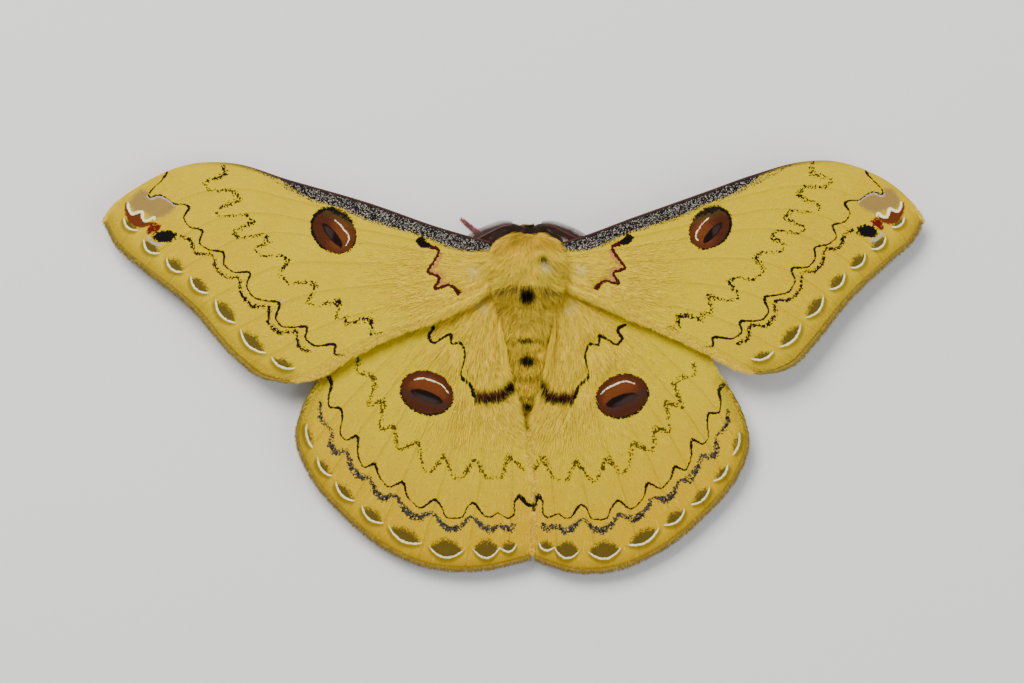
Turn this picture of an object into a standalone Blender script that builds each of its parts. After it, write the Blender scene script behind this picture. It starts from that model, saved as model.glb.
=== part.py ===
"""A yellow saturniid moth (Loepa) resting with its wings spread, at life size.

Metres, +Z up and +Y towards the head. The moth is modelled about its own body axis
and an empty then brings the middle of its bounding box over the origin. It rests on
the plane z = 0 on its six feet and the tip of its abdomen.
"""

import math
import random

import bmesh
import bpy
import numpy as np
from mathutils import Vector

# Spaces between touching pieces, and the thickness of the wings
GAP = 0.0003
ROOT_GAP = 0.0004
MEMBRANE = 0.0005
VEIN_RIDGE = 0.00018
VEIN_HALF_WIDTH = 0.00032
COSTA_RIDGE = 0.00012

# The wings lie as one shallow dome, highest over the body and low at the margins
DOME_CENTRE_Y = -0.008
DOME_REACH_X = 0.050
DOME_REACH_Y = 0.036
DOME_TOP = 0.0044
DOME_RIM = 0.0013
DOME_POWER = 1.3
FOREWING_LIFT = 0.00125
RIDE_UP_ROUNDING = 0.0004
FLANK_STEEPNESS = 3.0

# Thorax core, an egg cut flat in front and behind
THORAX_Y = -0.0010
THORAX_Z = 0.0049
THORAX_HALF = (0.0035, 0.0046, 0.0033)
THORAX_FRONT = 0.0023
THORAX_REAR = -0.0045

# Head and collar, in front of the thorax
HEAD_CENTRE = (0.0, 0.0035, 0.0033)
HEAD_HALF = (0.0018, 0.00125, 0.0015)
HEAD_REAR = THORAX_FRONT + GAP
EYE_CENTRE = (0.0015, 0.0037, 0.0031)
EYE_RADIUS = 0.00085
PALP_LINE = ((0.00045, 0.0040, 0.0026), (0.0005, 0.0047, 0.0021), (0.0005, 0.0051, 0.0017))
PALP_RADII = (0.00035, 0.00033, 0.00015)
EGG_END = 0.98
COLLAR_CENTRE = (0.0, 0.0025, 0.0066)
COLLAR_HALF = (0.0030, 0.0012, 0.0016)

# Abdomen core: place along Y, height of its middle, radius
ABDOMEN_PROFILE = (
    (-0.0048, 0.00420, 0.00225),
    (-0.0070, 0.00405, 0.00250),
    (-0.0100, 0.00360, 0.00245),
    (-0.0132, 0.00300, 0.00220),
    (-0.0168, 0.00195, 0.00180),
    (-0.0182, 0.00145, 0.00160),
    (-0.0196, 0.00120, 0.00130),
    (-0.0204, 0.00110, 0.00080),
    (-0.0208, 0.00105, 0.00030),
)
ABDOMEN_SEGMENTS = 8
SEGMENT_GROOVE = 0.05

# Long coat: flat tapered locks of hair, in tiers that lean back over one another
LOCK_SINK = 0.0006
LOCK_STATIONS = (0.0, 0.35, 0.7, 1.0)
LOCK_TAPER = (0.85, 1.0, 0.75, 0.15)
LOCK_SPREAD = 0.12
COAT_SEED = 7
SHORTEST_LOCK = 0.85
THORAX_TIERS = (0.0016, 0.0004, -0.0008, -0.0020, -0.0031)
THORAX_LOCK = (0.0031, 0.00125, 0.0006, 0.0010)
THORAX_SPACING = 0.65
THORAX_SWEEP = 0.95
THORAX_DROOP = 0.25
STEEPEST_TIER = 0.9
BELLY_TIERS = (0.0010, -0.0008, -0.0026)
BELLY_ANGLES = (math.radians(-68.0), math.radians(-90.0), math.radians(-112.0))
BELLY_LOCK = (0.0019, 0.0010, 0.0005, 0.0004)
ABDOMEN_TIERS = (-0.0058, -0.0075, -0.0093, -0.0112, -0.0132, -0.0152)
ABDOMEN_LOCK = (0.0028, 0.0012, 0.0005, 0.0006)
ABDOMEN_SPACING = 0.75
ABDOMEN_GATHER = 0.3
ABDOMEN_COAT = 0.0009
COLLAR_LOCK = (0.0013, 0.0013, 0.0005, 0.0001)
COLLAR_ROWS = ((0.00305, 8), (0.00335, 5))
COLLAR_ARC = (math.radians(12.0), math.radians(168.0))
COLLAR_LEAN = (0.45, 0.65)

# Wing outlines as plan points. Each wing has a costa, an outer margin and a hind margin
FORE_ROOT_Y = (0.0020, -0.0012)
HIND_ROOT_Y = (0.0000, -0.0036)
LEFT_FORE_COSTA = (
    (-0.0046, 0.0024), (-0.0104, 0.0041), (-0.0192, 0.0073), (-0.0290, 0.0103), (-0.0362, 0.0125),
    (-0.0413, 0.0124), (-0.0471, 0.0099), (-0.0506, 0.0071), (-0.0516, 0.0052),
)
LEFT_FORE_OUTER = (
    (-0.0516, 0.0052), (-0.0499, 0.0023), (-0.0469, -0.0003), (-0.0409, -0.0050),
    (-0.0349, -0.0116), (-0.0320, -0.0138), (-0.0284, -0.0147),
)
LEFT_FORE_HIND = (
    (-0.0048, -0.0034), (-0.0087, -0.0061), (-0.0167, -0.0093), (-0.0218, -0.0120),
    (-0.0246, -0.0138), (-0.0284, -0.0147),
)
RIGHT_FORE_COSTA = (
    (0.0046, 0.0024), (0.0133, 0.0056), (0.0219, 0.0088), (0.0278, 0.0110), (0.0335, 0.0126),
    (0.0370, 0.0128), (0.0411, 0.0118), (0.0466, 0.0081), (0.0483, 0.0053),
)
RIGHT_FORE_OUTER = (
    (0.0483, 0.0053), (0.0468, 0.0028), (0.0445, 0.0008), (0.0390, -0.0043),
    (0.0341, -0.0102), (0.0322, -0.0122), (0.0301, -0.0132), (0.0273, -0.0136),
)
RIGHT_FORE_HIND = (
    (0.0048, -0.0030), (0.0083, -0.0050), (0.0131, -0.0072), (0.0187, -0.0097),
    (0.0221, -0.0114), (0.0247, -0.0128), (0.0273, -0.0136),
)
LEFT_HIND_COSTA = (
    (-0.0100, -0.0025), (-0.0170, -0.0065), (-0.0215, -0.0100), (-0.0253, -0.0142),
)
LEFT_HIND_OUTER = (
    (-0.0253, -0.0142), (-0.0272, -0.0179), (-0.0279, -0.0208), (-0.0263, -0.0256),
    (-0.0223, -0.0304), (-0.0175, -0.0344), (-0.0117, -0.0369), (-0.0059, -0.0372), (0.0005, -0.0358),
)
LEFT_HIND_INNER = (
    (-0.0031, -0.0070), (-0.0027, -0.0101), (-0.0022, -0.0132), (-0.0015, -0.0168),
    (-0.0007, -0.0198), (-0.0001, -0.0223), (0.0004, -0.0255), (0.0006, -0.0297), (0.0005, -0.0358),
)
RIGHT_HIND_COSTA = (
    (0.0100, -0.0025), (0.0165, -0.0060), (0.0205, -0.0093), (0.0239, -0.0144),
)
RIGHT_HIND_OUTER = (
    (0.0239, -0.0144), (0.0258, -0.0179), (0.0267, -0.0217), (0.0255, -0.0256),
    (0.0216, -0.0304), (0.0155, -0.0352), (0.0114, -0.0370), (0.0056, -0.0374), (0.0009, -0.0359),
)
RIGHT_HIND_INNER = (
    (0.0031, -0.0070), (0.0027, -0.0101), (0.0022, -0.0132), (0.0015, -0.0168),
    (0.0006, -0.0198), (0.00045, -0.0223), (0.0008, -0.0255), (0.0010, -0.0297), (0.0009, -0.0359),
)

# Where the veins end, as a share of the outer margin from its front end
FORE_VEINS = (0.12, 0.25, 0.36, 0.52, 0.665, 0.81, 0.95)
HIND_VEINS = (0.10, 0.235, 0.336, 0.438, 0.548, 0.677, 0.81, 0.93)
WING_ROWS = 12
ROW_CROWDING = 1.35

# Antennae: the middle line of the right one, and its comb of paired branches
ANTENNA_LINE = (
    (0.00086, 0.00429, 0.00484), (0.0014, 0.0046, 0.0049), (0.0025, 0.0047, 0.0047), (0.0048, 0.0038, 0.0041),
    (0.0074, 0.0023, 0.0037), (0.0094, 0.0011, 0.0035),
)
ANTENNA_RADII = (0.00032, 0.00030, 0.00028, 0.00026, 0.00014)
ANTENNA_RINGS = 12
BRANCH_PAIRS = 8
BRANCH_REACH = (0.16, 0.90)
BRANCH_SWELL = (0.20, 0.88)
BRANCH_SLANT = (0.55, 0.83)
BRANCH_DROOP = 0.25
BRANCH_LENGTH = 0.0016
BRANCH_RADIUS = 0.00025
BRANCH_TIP_RADIUS = 0.00008

# Legs: where each leaves the body, and its middle line from the knee out, given for the right side
LEG_ROOT_ANGLE = math.radians(-35.0)
LEG_RADII = (0.00052, 0.00050, 0.00042, 0.00034, 0.00026)
FOOT_SINK = 0.00006
COXA_LENGTH = 0.0004
LEG_RINGS = 12
LEG_SIDES = 8
FRONT_REACHING = (
    (0.0039, 0.0021, 0.00255), (0.0053, 0.0035, 0.00135), (0.0064, 0.0046, 0.0), (0.0079, 0.0059, 0.0),
)
FRONT_TUCKED = (
    (0.0041, 0.0018, 0.00255), (0.0057, 0.0023, 0.00135), (0.0068, 0.0023, 0.0), (0.0086, 0.0022, 0.0),
)
MIDDLE_LEG = (
    (0.0046, -0.0010, 0.00245), (0.0068, -0.0014, 0.0013), (0.0082, -0.0017, 0.0), (0.0099, -0.0020, 0.0),
)
REAR_LEG = (
    (0.0040, -0.0044, 0.0026), (0.0058, -0.0068, 0.00135), (0.0069, -0.0082, 0.0), (0.0080, -0.0097, 0.0),
)
LEGS = (
    ("front_left", -1, 0.0013, FRONT_REACHING), ("front_right", 1, 0.0013, FRONT_TUCKED),
    ("middle_left", -1, -0.0008, MIDDLE_LEG), ("middle_right", 1, -0.0008, MIDDLE_LEG),
    ("rear_left", -1, -0.0028, REAR_LEG), ("rear_right", 1, -0.0028, REAR_LEG),
)

# Colours, sampled by eye: yellow scales, grey-brown collar, pink legs, orange-brown feelers
COLOURS = {
    "wing": (0.60, 0.44, 0.09),
    "fur": (0.66, 0.50, 0.13),
    "collar": (0.22, 0.14, 0.10),
    "head": (0.45, 0.28, 0.10),
    "eye": (0.02, 0.012, 0.01),
    "antenna": (0.36, 0.15, 0.04),
    "leg": (0.55, 0.20, 0.18),
}


def clear_scene():
    """Remove whatever the scene holds."""
    for thing in list(bpy.data.objects):
        bpy.data.objects.remove(thing, do_unlink=True)


def make_material(name, colour, roughness=0.8):
    """A plain principled material."""
    material = bpy.data.materials.new(name)
    material.use_nodes = True
    shader = material.node_tree.nodes["Principled BSDF"]
    shader.inputs["Base Color"].default_value = (*colour, 1.0)
    shader.inputs["Roughness"].default_value = roughness
    shader.inputs["Metallic"].default_value = 0.0
    return material


def make_object(name, vertices, faces, colour_name):
    """A closed mesh object with its faces pointing out."""
    mesh = bpy.data.meshes.new(name)
    mesh.from_pydata([tuple(v) for v in vertices], [], faces)
    fix = bmesh.new()
    fix.from_mesh(mesh)
    bmesh.ops.recalc_face_normals(fix, faces=fix.faces)
    fix.to_mesh(mesh)
    fix.free()
    mesh.shade_smooth()
    mesh.set_sharp_from_angle(angle=math.radians(50))
    made = bpy.data.objects.new(name, mesh)
    bpy.context.scene.collection.objects.link(made)
    made.data.materials.append(make_material(name, COLOURS[colour_name]))
    return made


def loft(rings):
    """Vertices and faces of a tube through rings of equal counts, closed by a cap at each end."""
    count = len(rings[0])
    vertices = [point for ring in rings for point in ring]
    faces = []
    for row in range(len(rings) - 1):
        for side in range(count):
            a = row * count + side
            b = row * count + (side + 1) % count
            faces.append((a, b, b + count))
            faces.append((a, b + count, a + count))
    faces.append(tuple(reversed(range(count))))
    faces.append(tuple(range((len(rings) - 1) * count, len(rings) * count)))
    return vertices, faces


def smooth_points(anchors, fractions):
    """Points at shares of the length of a smooth curve through the anchors."""
    anchors = np.array(anchors, float)
    chord = np.concatenate([[0.0], np.cumsum(np.linalg.norm(np.diff(anchors, axis=0), axis=1))])
    slopes = np.gradient(anchors, chord, axis=0)
    dense = np.linspace(0.0, chord[-1], 40 * len(anchors))
    span = np.clip(np.searchsorted(chord, dense, side="right") - 1, 0, len(chord) - 2)
    width = (chord[span + 1] - chord[span])[:, None]
    t = ((dense - chord[span]) / width[:, 0])[:, None]
    curve = (
        (2 * t**3 - 3 * t**2 + 1) * anchors[span]
        + (t**3 - 2 * t**2 + t) * width * slopes[span]
        + (3 * t**2 - 2 * t**3) * anchors[span + 1]
        + (t**3 - t**2) * width * slopes[span + 1]
    )
    run = np.concatenate([[0.0], np.cumsum(np.linalg.norm(np.diff(curve, axis=0), axis=1))])
    wanted = np.asarray(fractions, float) * run[-1]
    return np.stack([np.interp(wanted, run, curve[:, axis]) for axis in range(curve.shape[1])], axis=-1)


def abdomen_section(y):
    """Height of the abdomen's middle and its radius at a place along Y."""
    rows = np.array(ABDOMEN_PROFILE[::-1])
    return np.interp(y, rows[:, 0], rows[:, 1]), np.interp(y, rows[:, 0], rows[:, 2])


def thorax_half(y):
    """Half width and half height of the thorax core at a place along Y."""
    share = math.sqrt(1.0 - ((y - THORAX_Y) / THORAX_HALF[1]) ** 2)
    return THORAX_HALF[0] * share, THORAX_HALF[2] * share


def dome_height(x, y):
    """Height of the hindwings' middle surface away from the abdomen."""
    reach = np.sqrt((x / DOME_REACH_X) ** 2 + ((y - DOME_CENTRE_Y) / DOME_REACH_Y) ** 2)
    return DOME_RIM + (DOME_TOP - DOME_RIM) * (1.0 - np.clip(reach, 0.0, 1.0) ** DOME_POWER)


def hindwing_height(x, y):
    """The dome, lifted where a hindwing rides up the flank of the abdomen."""
    middle, radius = abdomen_section(y)
    clear = radius + GAP + MEMBRANE / 2 + VEIN_RIDGE
    beside = np.clip(np.abs(x) - clear, 0.0, None)
    over = middle + np.sqrt(np.clip(clear**2 - x**2, 0.0, None)) - FLANK_STEEPNESS * beside
    over = np.where(y < ABDOMEN_PROFILE[-1][0], 0.0, over)
    low = dome_height(x, y)
    return (low + over + np.sqrt((low - over) ** 2 + RIDE_UP_ROUNDING**2)) / 2.0


def forewing_height(x, y):
    """Height of the forewings' middle surface."""
    return dome_height(x, y) + FOREWING_LIFT


def surface_normal(height, x, y, step=0.00005):
    """Upward unit normal of a height surface."""
    slope_x = (height(x + step, y) - height(x - step, y)) / (2 * step)
    slope_y = (height(x, y + step) - height(x, y - step)) / (2 * step)
    normal = np.stack([-slope_x, -slope_y, np.ones_like(x)], axis=-1)
    return normal / np.linalg.norm(normal, axis=-1, keepdims=True)


def root_edge(side, root_y, height, shares):
    """Inner edge of a wing, one gap out from the flank of the thorax core."""
    points = []
    for share in shares:
        y = root_y[0] + (root_y[1] - root_y[0]) * share
        half_width, half_height = thorax_half(y)
        rise = (float(height(np.array(side * half_width), np.array(y))) - THORAX_Z) / half_height
        points.append((side * (half_width * math.sqrt(1.0 - rise**2) + ROOT_GAP), y))
    return np.array(points)


def wing_columns(veins, width):
    """Places across one row of a wing: its edges, each vein's foot, crest and foot, and between."""
    columns, ridges = [0.0], [COSTA_RIDGE]
    marks = (0.0, *veins, 1.0)
    for index, vein in enumerate(veins):
        spacing = min(vein - marks[index], marks[index + 2] - vein)
        half = min(VEIN_HALF_WIDTH / width, 0.3 * spacing)
        columns.append((marks[index] + vein) / 2)
        columns += [vein - half, vein, vein + half]
        ridges += [0.0, 0.0, VEIN_RIDGE, 0.0]
    return np.array(columns + [1.0]), np.array(ridges + [0.0])


def make_wing(name, side, height, root_y, costa, outer, hind, veins):
    """A wing membrane spanned between its four edges, with veins raised on both faces."""
    root_ends = root_edge(side, root_y, height, (0.0, 1.0))
    shares = 1.0 - (1.0 - np.linspace(0.0, 1.0, WING_ROWS)) ** ROW_CROWDING
    costa_line = smooth_points((tuple(root_ends[0]), *costa), shares)
    hind_line = smooth_points((tuple(root_ends[1]), *hind), shares)
    top, bottom = [], []
    for row, along in enumerate(shares):
        width = np.linalg.norm(costa_line[row] - hind_line[row])
        across, ridge = wing_columns(veins, width)
        v = across[:, None]
        root = root_edge(side, root_y, height, across)
        rim = smooth_points(outer, across)
        corners = (1 - along) * ((1 - v) * costa_line[0] + v * hind_line[0])
        corners = corners + along * ((1 - v) * costa_line[-1] + v * hind_line[-1])
        plan = (1 - v) * costa_line[row] + v * hind_line[row] + (1 - along) * root + along * rim - corners
        x, y = plan[:, 0], plan[:, 1]
        middle = np.stack([x, y, height(x, y)], axis=-1)
        reach = (MEMBRANE / 2 + ridge * (1.0 - 0.5 * along))[:, None] * surface_normal(height, x, y)
        top.append(middle + reach)
        bottom.append(middle - reach)
    return slab(name, np.array(top), np.array(bottom))


def slab(name, top, bottom):
    """A closed sheet from two grids of points, split into triangles alike on both faces."""
    rows, columns = top.shape[:2]
    vertices = list(top.reshape(-1, 3)) + list(bottom.reshape(-1, 3))
    under = rows * columns
    faces = []
    for row in range(rows - 1):
        for column in range(columns - 1):
            a = row * columns + column
            b, c, d = a + 1, a + 1 + columns, a + columns
            faces += [(a, b, c), (a, c, d)]
            faces += [(under + a, under + c, under + b), (under + a, under + d, under + c)]
    rim = list(range(columns))
    rim += [row * columns + columns - 1 for row in range(1, rows)]
    rim += [(rows - 1) * columns + column for column in range(columns - 2, -1, -1)]
    rim += [row * columns for row in range(rows - 2, 0, -1)]
    for here, there in zip(rim, rim[1:] + rim[:1]):
        faces += [(here, under + here, under + there), (here, under + there, there)]
    return make_object(name, vertices, faces, "wing")


def body_of_rings(name, sections, colour_name, sides=16):
    """A closed body along Y from sections of place, middle height, half width and half height."""
    rings = []
    for y, z, half_width, half_height in sections:
        angles = [2 * math.pi * (k + 0.5) / sides for k in range(sides)]
        ring = [(half_width * math.cos(a), y, max(z + half_height * math.sin(a), 0.0)) for a in angles]
        rings.append(ring)
    vertices, faces = loft(rings)
    return make_object(name, vertices, faces, colour_name)


def egg_sections(centre, half, start, end, count):
    """Sections of an ellipsoid between two places along Y."""
    sections = []
    for y in np.linspace(start, end, count):
        share = math.sqrt(1.0 - ((y - centre[1]) / half[1]) ** 2)
        sections.append((y, centre[2], half[0] * share, half[2] * share))
    return sections


def tube_rings(points, radii, sides, floor=None):
    """Rings round a line, flattened where they would pass below the floor."""
    rings = []
    for index, point in enumerate(points):
        before = Vector(points[max(index - 1, 0)])
        after = Vector(points[min(index + 1, len(points) - 1)])
        along = (after - before).normalized()
        across = along.cross(Vector((0.0, 0.0, 1.0))).normalized()
        upward = across.cross(along)
        ring = []
        for k in range(sides):
            angle = 2 * math.pi * (k + 0.5) / sides
            spoke = math.cos(angle) * across + math.sin(angle) * upward
            place = Vector(point) + float(radii[index]) * spoke
            if floor is not None:
                place.z = max(place.z, floor)
            ring.append(tuple(place))
        rings.append(ring)
    return rings


def make_lock(base, normal, lie, size, colour_name, lowest, sunk_along=None):
    """A flat lock rooted inside the coat's core, bent along its lie and lifted clear below."""
    dip = (sunk_along or normal) * LOCK_SINK
    length, width, thickness, lift = size
    across = lie.cross(normal).normalized()
    rings = []
    for station, taper in zip(LOCK_STATIONS, LOCK_TAPER):
        rise = normal * (lift * station * (2.0 - station)) - dip * (1.0 - station) ** 3
        centre = base + lie * (length * station) + rise
        half = thickness * (0.4 + 0.6 * taper) / 2
        if station > 0.0:
            centre.z = max(centre.z, lowest(centre.x, centre.y) + half)
        side = across * (width * taper / 2)
        up = normal * half
        rings.append([tuple(centre + side), tuple(centre + up), tuple(centre - side), tuple(centre - up)])
    vertices, faces = loft(rings)
    return make_object("lock", vertices, faces, colour_name)


def shell_point(y, middle, half_width, half_height, angle):
    """Point and outward normal on an elliptical section of the body."""
    across, upward = math.cos(angle), math.sin(angle)
    point = Vector((half_width * across, y, middle + half_height * upward))
    normal = Vector((across / half_width, 0.0, upward / half_height)).normalized()
    return point, normal


def tier_angles(first, last, arc_radius, spacing, offset):
    """Evenly spread angles across a tier, shifted by half a step on every other tier."""
    count = max(int(round((last - first) * arc_radius / spacing)), 1)
    step = (last - first) / count
    if offset:
        return [first + step * (k + 0.5) for k in range(count)]
    return [first + step * k for k in range(count + 1)]


def above_thorax(x, y):
    """Lowest underside of a thorax lock: clear of the forewings and of the abdomen's coat."""
    lowest = -1.0
    core = thorax_half(min(max(y, THORAX_REAR), THORAX_FRONT))[0]
    if abs(x) > core - GAP and y > THORAX_REAR:
        wing = float(forewing_height(np.array(x), np.array(y)))
        lowest = wing + MEMBRANE / 2 + VEIN_RIDGE + ROOT_GAP
    middle, radius = abdomen_section(y)
    coat = float(radius) + ABDOMEN_COAT + GAP
    if y < THORAX_REAR and abs(x) < coat:
        lowest = max(lowest, float(middle) + math.sqrt(coat**2 - x**2))
    return lowest


def fuse(core, pieces, operation="UNION"):
    """Join pieces to a core, or cut them from it, and keep its one largest surface."""
    group = bpy.data.collections.new(core.name + "_pieces")
    bpy.context.scene.collection.children.link(group)
    for piece in pieces:
        group.objects.link(piece)
    joiner = core.modifiers.new("fuse", "BOOLEAN")
    joiner.operation = operation
    joiner.operand_type = "COLLECTION"
    joiner.collection = group
    joiner.solver = "EXACT"
    depsgraph = bpy.context.evaluated_depsgraph_get()
    fused = bpy.data.meshes.new_from_object(core.evaluated_get(depsgraph))
    core.modifiers.clear()
    core.data = fused
    for piece in pieces:
        bpy.data.objects.remove(piece, do_unlink=True)
    bpy.data.collections.remove(group)
    keep_largest(core)


def keep_largest(thing):
    """Drop every closed surface of a mesh but the one that holds the most."""
    work = bmesh.new()
    work.from_mesh(thing.data)
    bmesh.ops.triangulate(work, faces=work.faces)
    left = set(work.faces)
    shells = []
    while left:
        shell, edge = set(), [left.pop()]
        while edge:
            face = edge.pop()
            shell.add(face)
            for near in {n for e in face.edges for n in e.link_faces if n in left}:
                left.discard(near)
                edge.append(near)
        shells.append(shell)
    largest = max(shells, key=shell_volume)
    bmesh.ops.delete(work, geom=[f for s in shells if s is not largest for f in s], context="FACES")
    loose = [v for v in work.verts if not v.link_faces]
    bmesh.ops.delete(work, geom=loose, context="VERTS")
    work.to_mesh(thing.data)
    work.free()


def shell_volume(shell):
    """Signed volume inside a closed set of triangles."""
    total = 0.0
    for face in shell:
        a, b, c = (v.co for v in face.verts)
        total += a.dot(b.cross(c)) / 6.0
    return total


def thorax_locks(draw):
    """Long hair over the back, spreading over the wing roots, and short hair below."""
    locks = []
    length, width, thickness, lift = THORAX_LOCK
    for tier, y in enumerate(THORAX_TIERS):
        half_width, half_height = thorax_half(y)
        rise = above_thorax(2 * half_width, y) + thickness / 2 - THORAX_Z
        lowest_angle = math.asin(min(rise / half_height, STEEPEST_TIER))
        spacing = THORAX_SPACING * width
        for angle in tier_angles(lowest_angle, math.pi - lowest_angle, half_width, spacing, tier % 2):
            base, normal = shell_point(y, THORAX_Z, half_width, half_height, angle)
            outward = THORAX_SWEEP * math.cos(angle) + draw.uniform(-LOCK_SPREAD, LOCK_SPREAD)
            lie = Vector((outward, -1.0, -THORAX_DROOP))
            lie = (lie - normal * lie.dot(normal)).normalized()
            size = (length * draw.uniform(SHORTEST_LOCK, 1.0), width, thickness, lift)
            locks.append(make_lock(base, normal, lie, size, "fur", above_thorax))
    for y in BELLY_TIERS:
        half_width, half_height = thorax_half(y)
        for angle in BELLY_ANGLES:
            base, normal = shell_point(y, THORAX_Z, half_width, half_height, angle)
            lie = Vector((draw.uniform(-LOCK_SPREAD, LOCK_SPREAD), -1.0, 0.1)).normalized()
            locks.append(make_lock(base, normal, lie, BELLY_LOCK, "fur", lambda x, y: GAP))
    return locks


def make_thorax(draw):
    """The middle of the body, which carries the wings and legs."""
    sections = egg_sections((0.0, THORAX_Y, THORAX_Z), THORAX_HALF, THORAX_REAR, THORAX_FRONT, 9)
    thorax = body_of_rings("thorax", sections, "fur")
    fuse(thorax, thorax_locks(draw))
    return thorax


def make_collar(draw):
    """The band of grey-brown hair behind the head."""
    start = THORAX_FRONT + GAP
    end = COLLAR_CENTRE[1] + COLLAR_HALF[1] * EGG_END
    sections = egg_sections(COLLAR_CENTRE, COLLAR_HALF, start, end, 5)
    collar = body_of_rings("collar", sections, "collar")
    locks = []
    for y, count in COLLAR_ROWS:
        share = math.sqrt(1.0 - ((y - COLLAR_CENTRE[1]) / COLLAR_HALF[1]) ** 2)
        for k in range(count):
            angle = COLLAR_ARC[0] + (COLLAR_ARC[1] - COLLAR_ARC[0]) * k / (count - 1)
            half_width, half_height = COLLAR_HALF[0] * share, COLLAR_HALF[2] * share
            base, normal = shell_point(y, COLLAR_CENTRE[2], half_width, half_height, angle)
            lie = (normal + Vector((0.0, draw.uniform(*COLLAR_LEAN), 0.0))).normalized()
            forward = Vector((0.0, 1.0, 0.0))
            locks.append(make_lock(base, forward, lie, COLLAR_LOCK, "collar", lambda x, y: 0.0, lie))
    fuse(collar, locks)
    return collar


def inner_margin(y):
    """How far the hindwings' inner margins lie from the body's middle at a place along Y."""
    inner = np.array(RIGHT_HIND_INNER[::-1])
    return float(np.interp(y, inner[:, 1], inner[:, 0]))


def abdomen_locks(draw):
    """Hair along the back of the abdomen, between the hindwings' inner margins."""
    locks = []
    length, width, thickness, lift = ABDOMEN_LOCK
    for tier, y in enumerate(ABDOMEN_TIERS):
        middle, radius = (float(value) for value in abdomen_section(y))
        room = inner_margin(y - length) - GAP - width / 2
        lowest_angle = math.acos(min(max(room, 0.0) / radius, STEEPEST_TIER))
        spacing = ABDOMEN_SPACING * width
        for angle in tier_angles(lowest_angle, math.pi - lowest_angle, radius, spacing, tier % 2):
            base, normal = shell_point(y, middle, radius, radius, angle)
            droop = (middle - float(abdomen_section(y - length)[0])) / length
            inward = draw.uniform(-LOCK_SPREAD, LOCK_SPREAD) - ABDOMEN_GATHER * normal.x
            lie = Vector((inward, -1.0, -droop)).normalized()
            size = (length * draw.uniform(SHORTEST_LOCK, 1.0), width, thickness, lift)
            locks.append(make_lock(base, normal, lie, size, "fur", lambda x, y: 0.0))
    return locks


def make_abdomen(draw):
    """The abdomen, ringed by its segments, with its tip resting on the floor."""
    start, end = ABDOMEN_PROFILE[0][0], ABDOMEN_PROFILE[-1][0]
    sections = []
    for index in range(2 * ABDOMEN_SEGMENTS + 1):
        y = start + (end - start) * index / (2 * ABDOMEN_SEGMENTS)
        middle, radius = abdomen_section(y)
        if index % 2 == 0 and 0 < index < 2 * ABDOMEN_SEGMENTS - 2:
            radius *= 1.0 - SEGMENT_GROOVE
        sections.append((y, float(middle), float(radius), float(radius)))
    abdomen = body_of_rings("abdomen", sections, "fur")
    fuse(abdomen, abdomen_locks(draw))
    return abdomen


def make_head():
    """The head with its two palps and a socket for each eye."""
    end = HEAD_CENTRE[1] + HEAD_HALF[1] * EGG_END
    sections = egg_sections(HEAD_CENTRE, HEAD_HALF, HEAD_REAR, end, 7)
    head = body_of_rings("head", sections, "head")
    palps = []
    for side in (-1, 1):
        line = [(side * x, y, z) for x, y, z in PALP_LINE]
        vertices, faces = loft(tube_rings(line, PALP_RADII, 6))
        palps.append(make_object("palp", vertices, faces, "head"))
    fuse(head, palps)
    fuse(head, [make_ball("socket", side, EYE_RADIUS + GAP) for side in (-1, 1)], "DIFFERENCE")
    return head


def make_ball(name, side, radius):
    """A ball at the place of one eye."""
    mesh = bpy.data.meshes.new(name)
    work = bmesh.new()
    bmesh.ops.create_uvsphere(work, u_segments=12, v_segments=7, radius=radius)
    bmesh.ops.triangulate(work, faces=work.faces)
    bmesh.ops.translate(work, verts=work.verts, vec=(side * EYE_CENTRE[0], EYE_CENTRE[1], EYE_CENTRE[2]))
    work.to_mesh(mesh)
    work.free()
    mesh.shade_smooth()
    ball = bpy.data.objects.new(name, mesh)
    bpy.context.scene.collection.objects.link(ball)
    mesh.materials.append(make_material(name, COLOURS["eye"], roughness=0.15))
    return ball


def make_antenna(name, side):
    """A feathered antenna: a bent shaft with a comb of branches on each edge."""
    shares = np.linspace(0.0, 1.0, ANTENNA_RINGS)
    line = smooth_points(ANTENNA_LINE, shares) * np.array((side, 1.0, 1.0))
    radii = np.interp(shares, np.linspace(0.0, 1.0, len(ANTENNA_RADII)), ANTENNA_RADII)
    vertices, faces = loft(tube_rings(line, radii, 6))
    shaft = make_object(name, vertices, faces, "antenna")
    branches = []
    for pair in range(BRANCH_PAIRS):
        step = pair / (BRANCH_PAIRS - 1)
        share = np.interp(step, (0.0, 1.0), BRANCH_REACH)
        start = Vector(np.array([np.interp(share, shares, line[:, axis]) for axis in range(3)]))
        ahead = Vector(np.array([np.interp(share + 0.05, shares, line[:, axis]) for axis in range(3)]))
        along = (ahead - start).normalized()
        length = BRANCH_LENGTH * math.sin(math.pi * np.interp(step, (0.0, 1.0), BRANCH_SWELL))
        for edge in (-1, 1):
            outward = edge * along.cross(Vector((0.0, 0.0, 1.0))).normalized()
            reach = (BRANCH_SLANT[0] * along + BRANCH_SLANT[1] * outward) * length
            droop = Vector((0.0, 0.0, -BRANCH_DROOP * length))
            path = [start, start + reach / 2 + droop / 4, start + reach + droop]
            sizes = (BRANCH_RADIUS, BRANCH_RADIUS, BRANCH_TIP_RADIUS)
            vertices, faces = loft(tube_rings([tuple(p) for p in path], sizes, 4))
            branches.append(make_object("branch", vertices, faces, "antenna"))
    fuse(shaft, branches)
    return shaft


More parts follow.
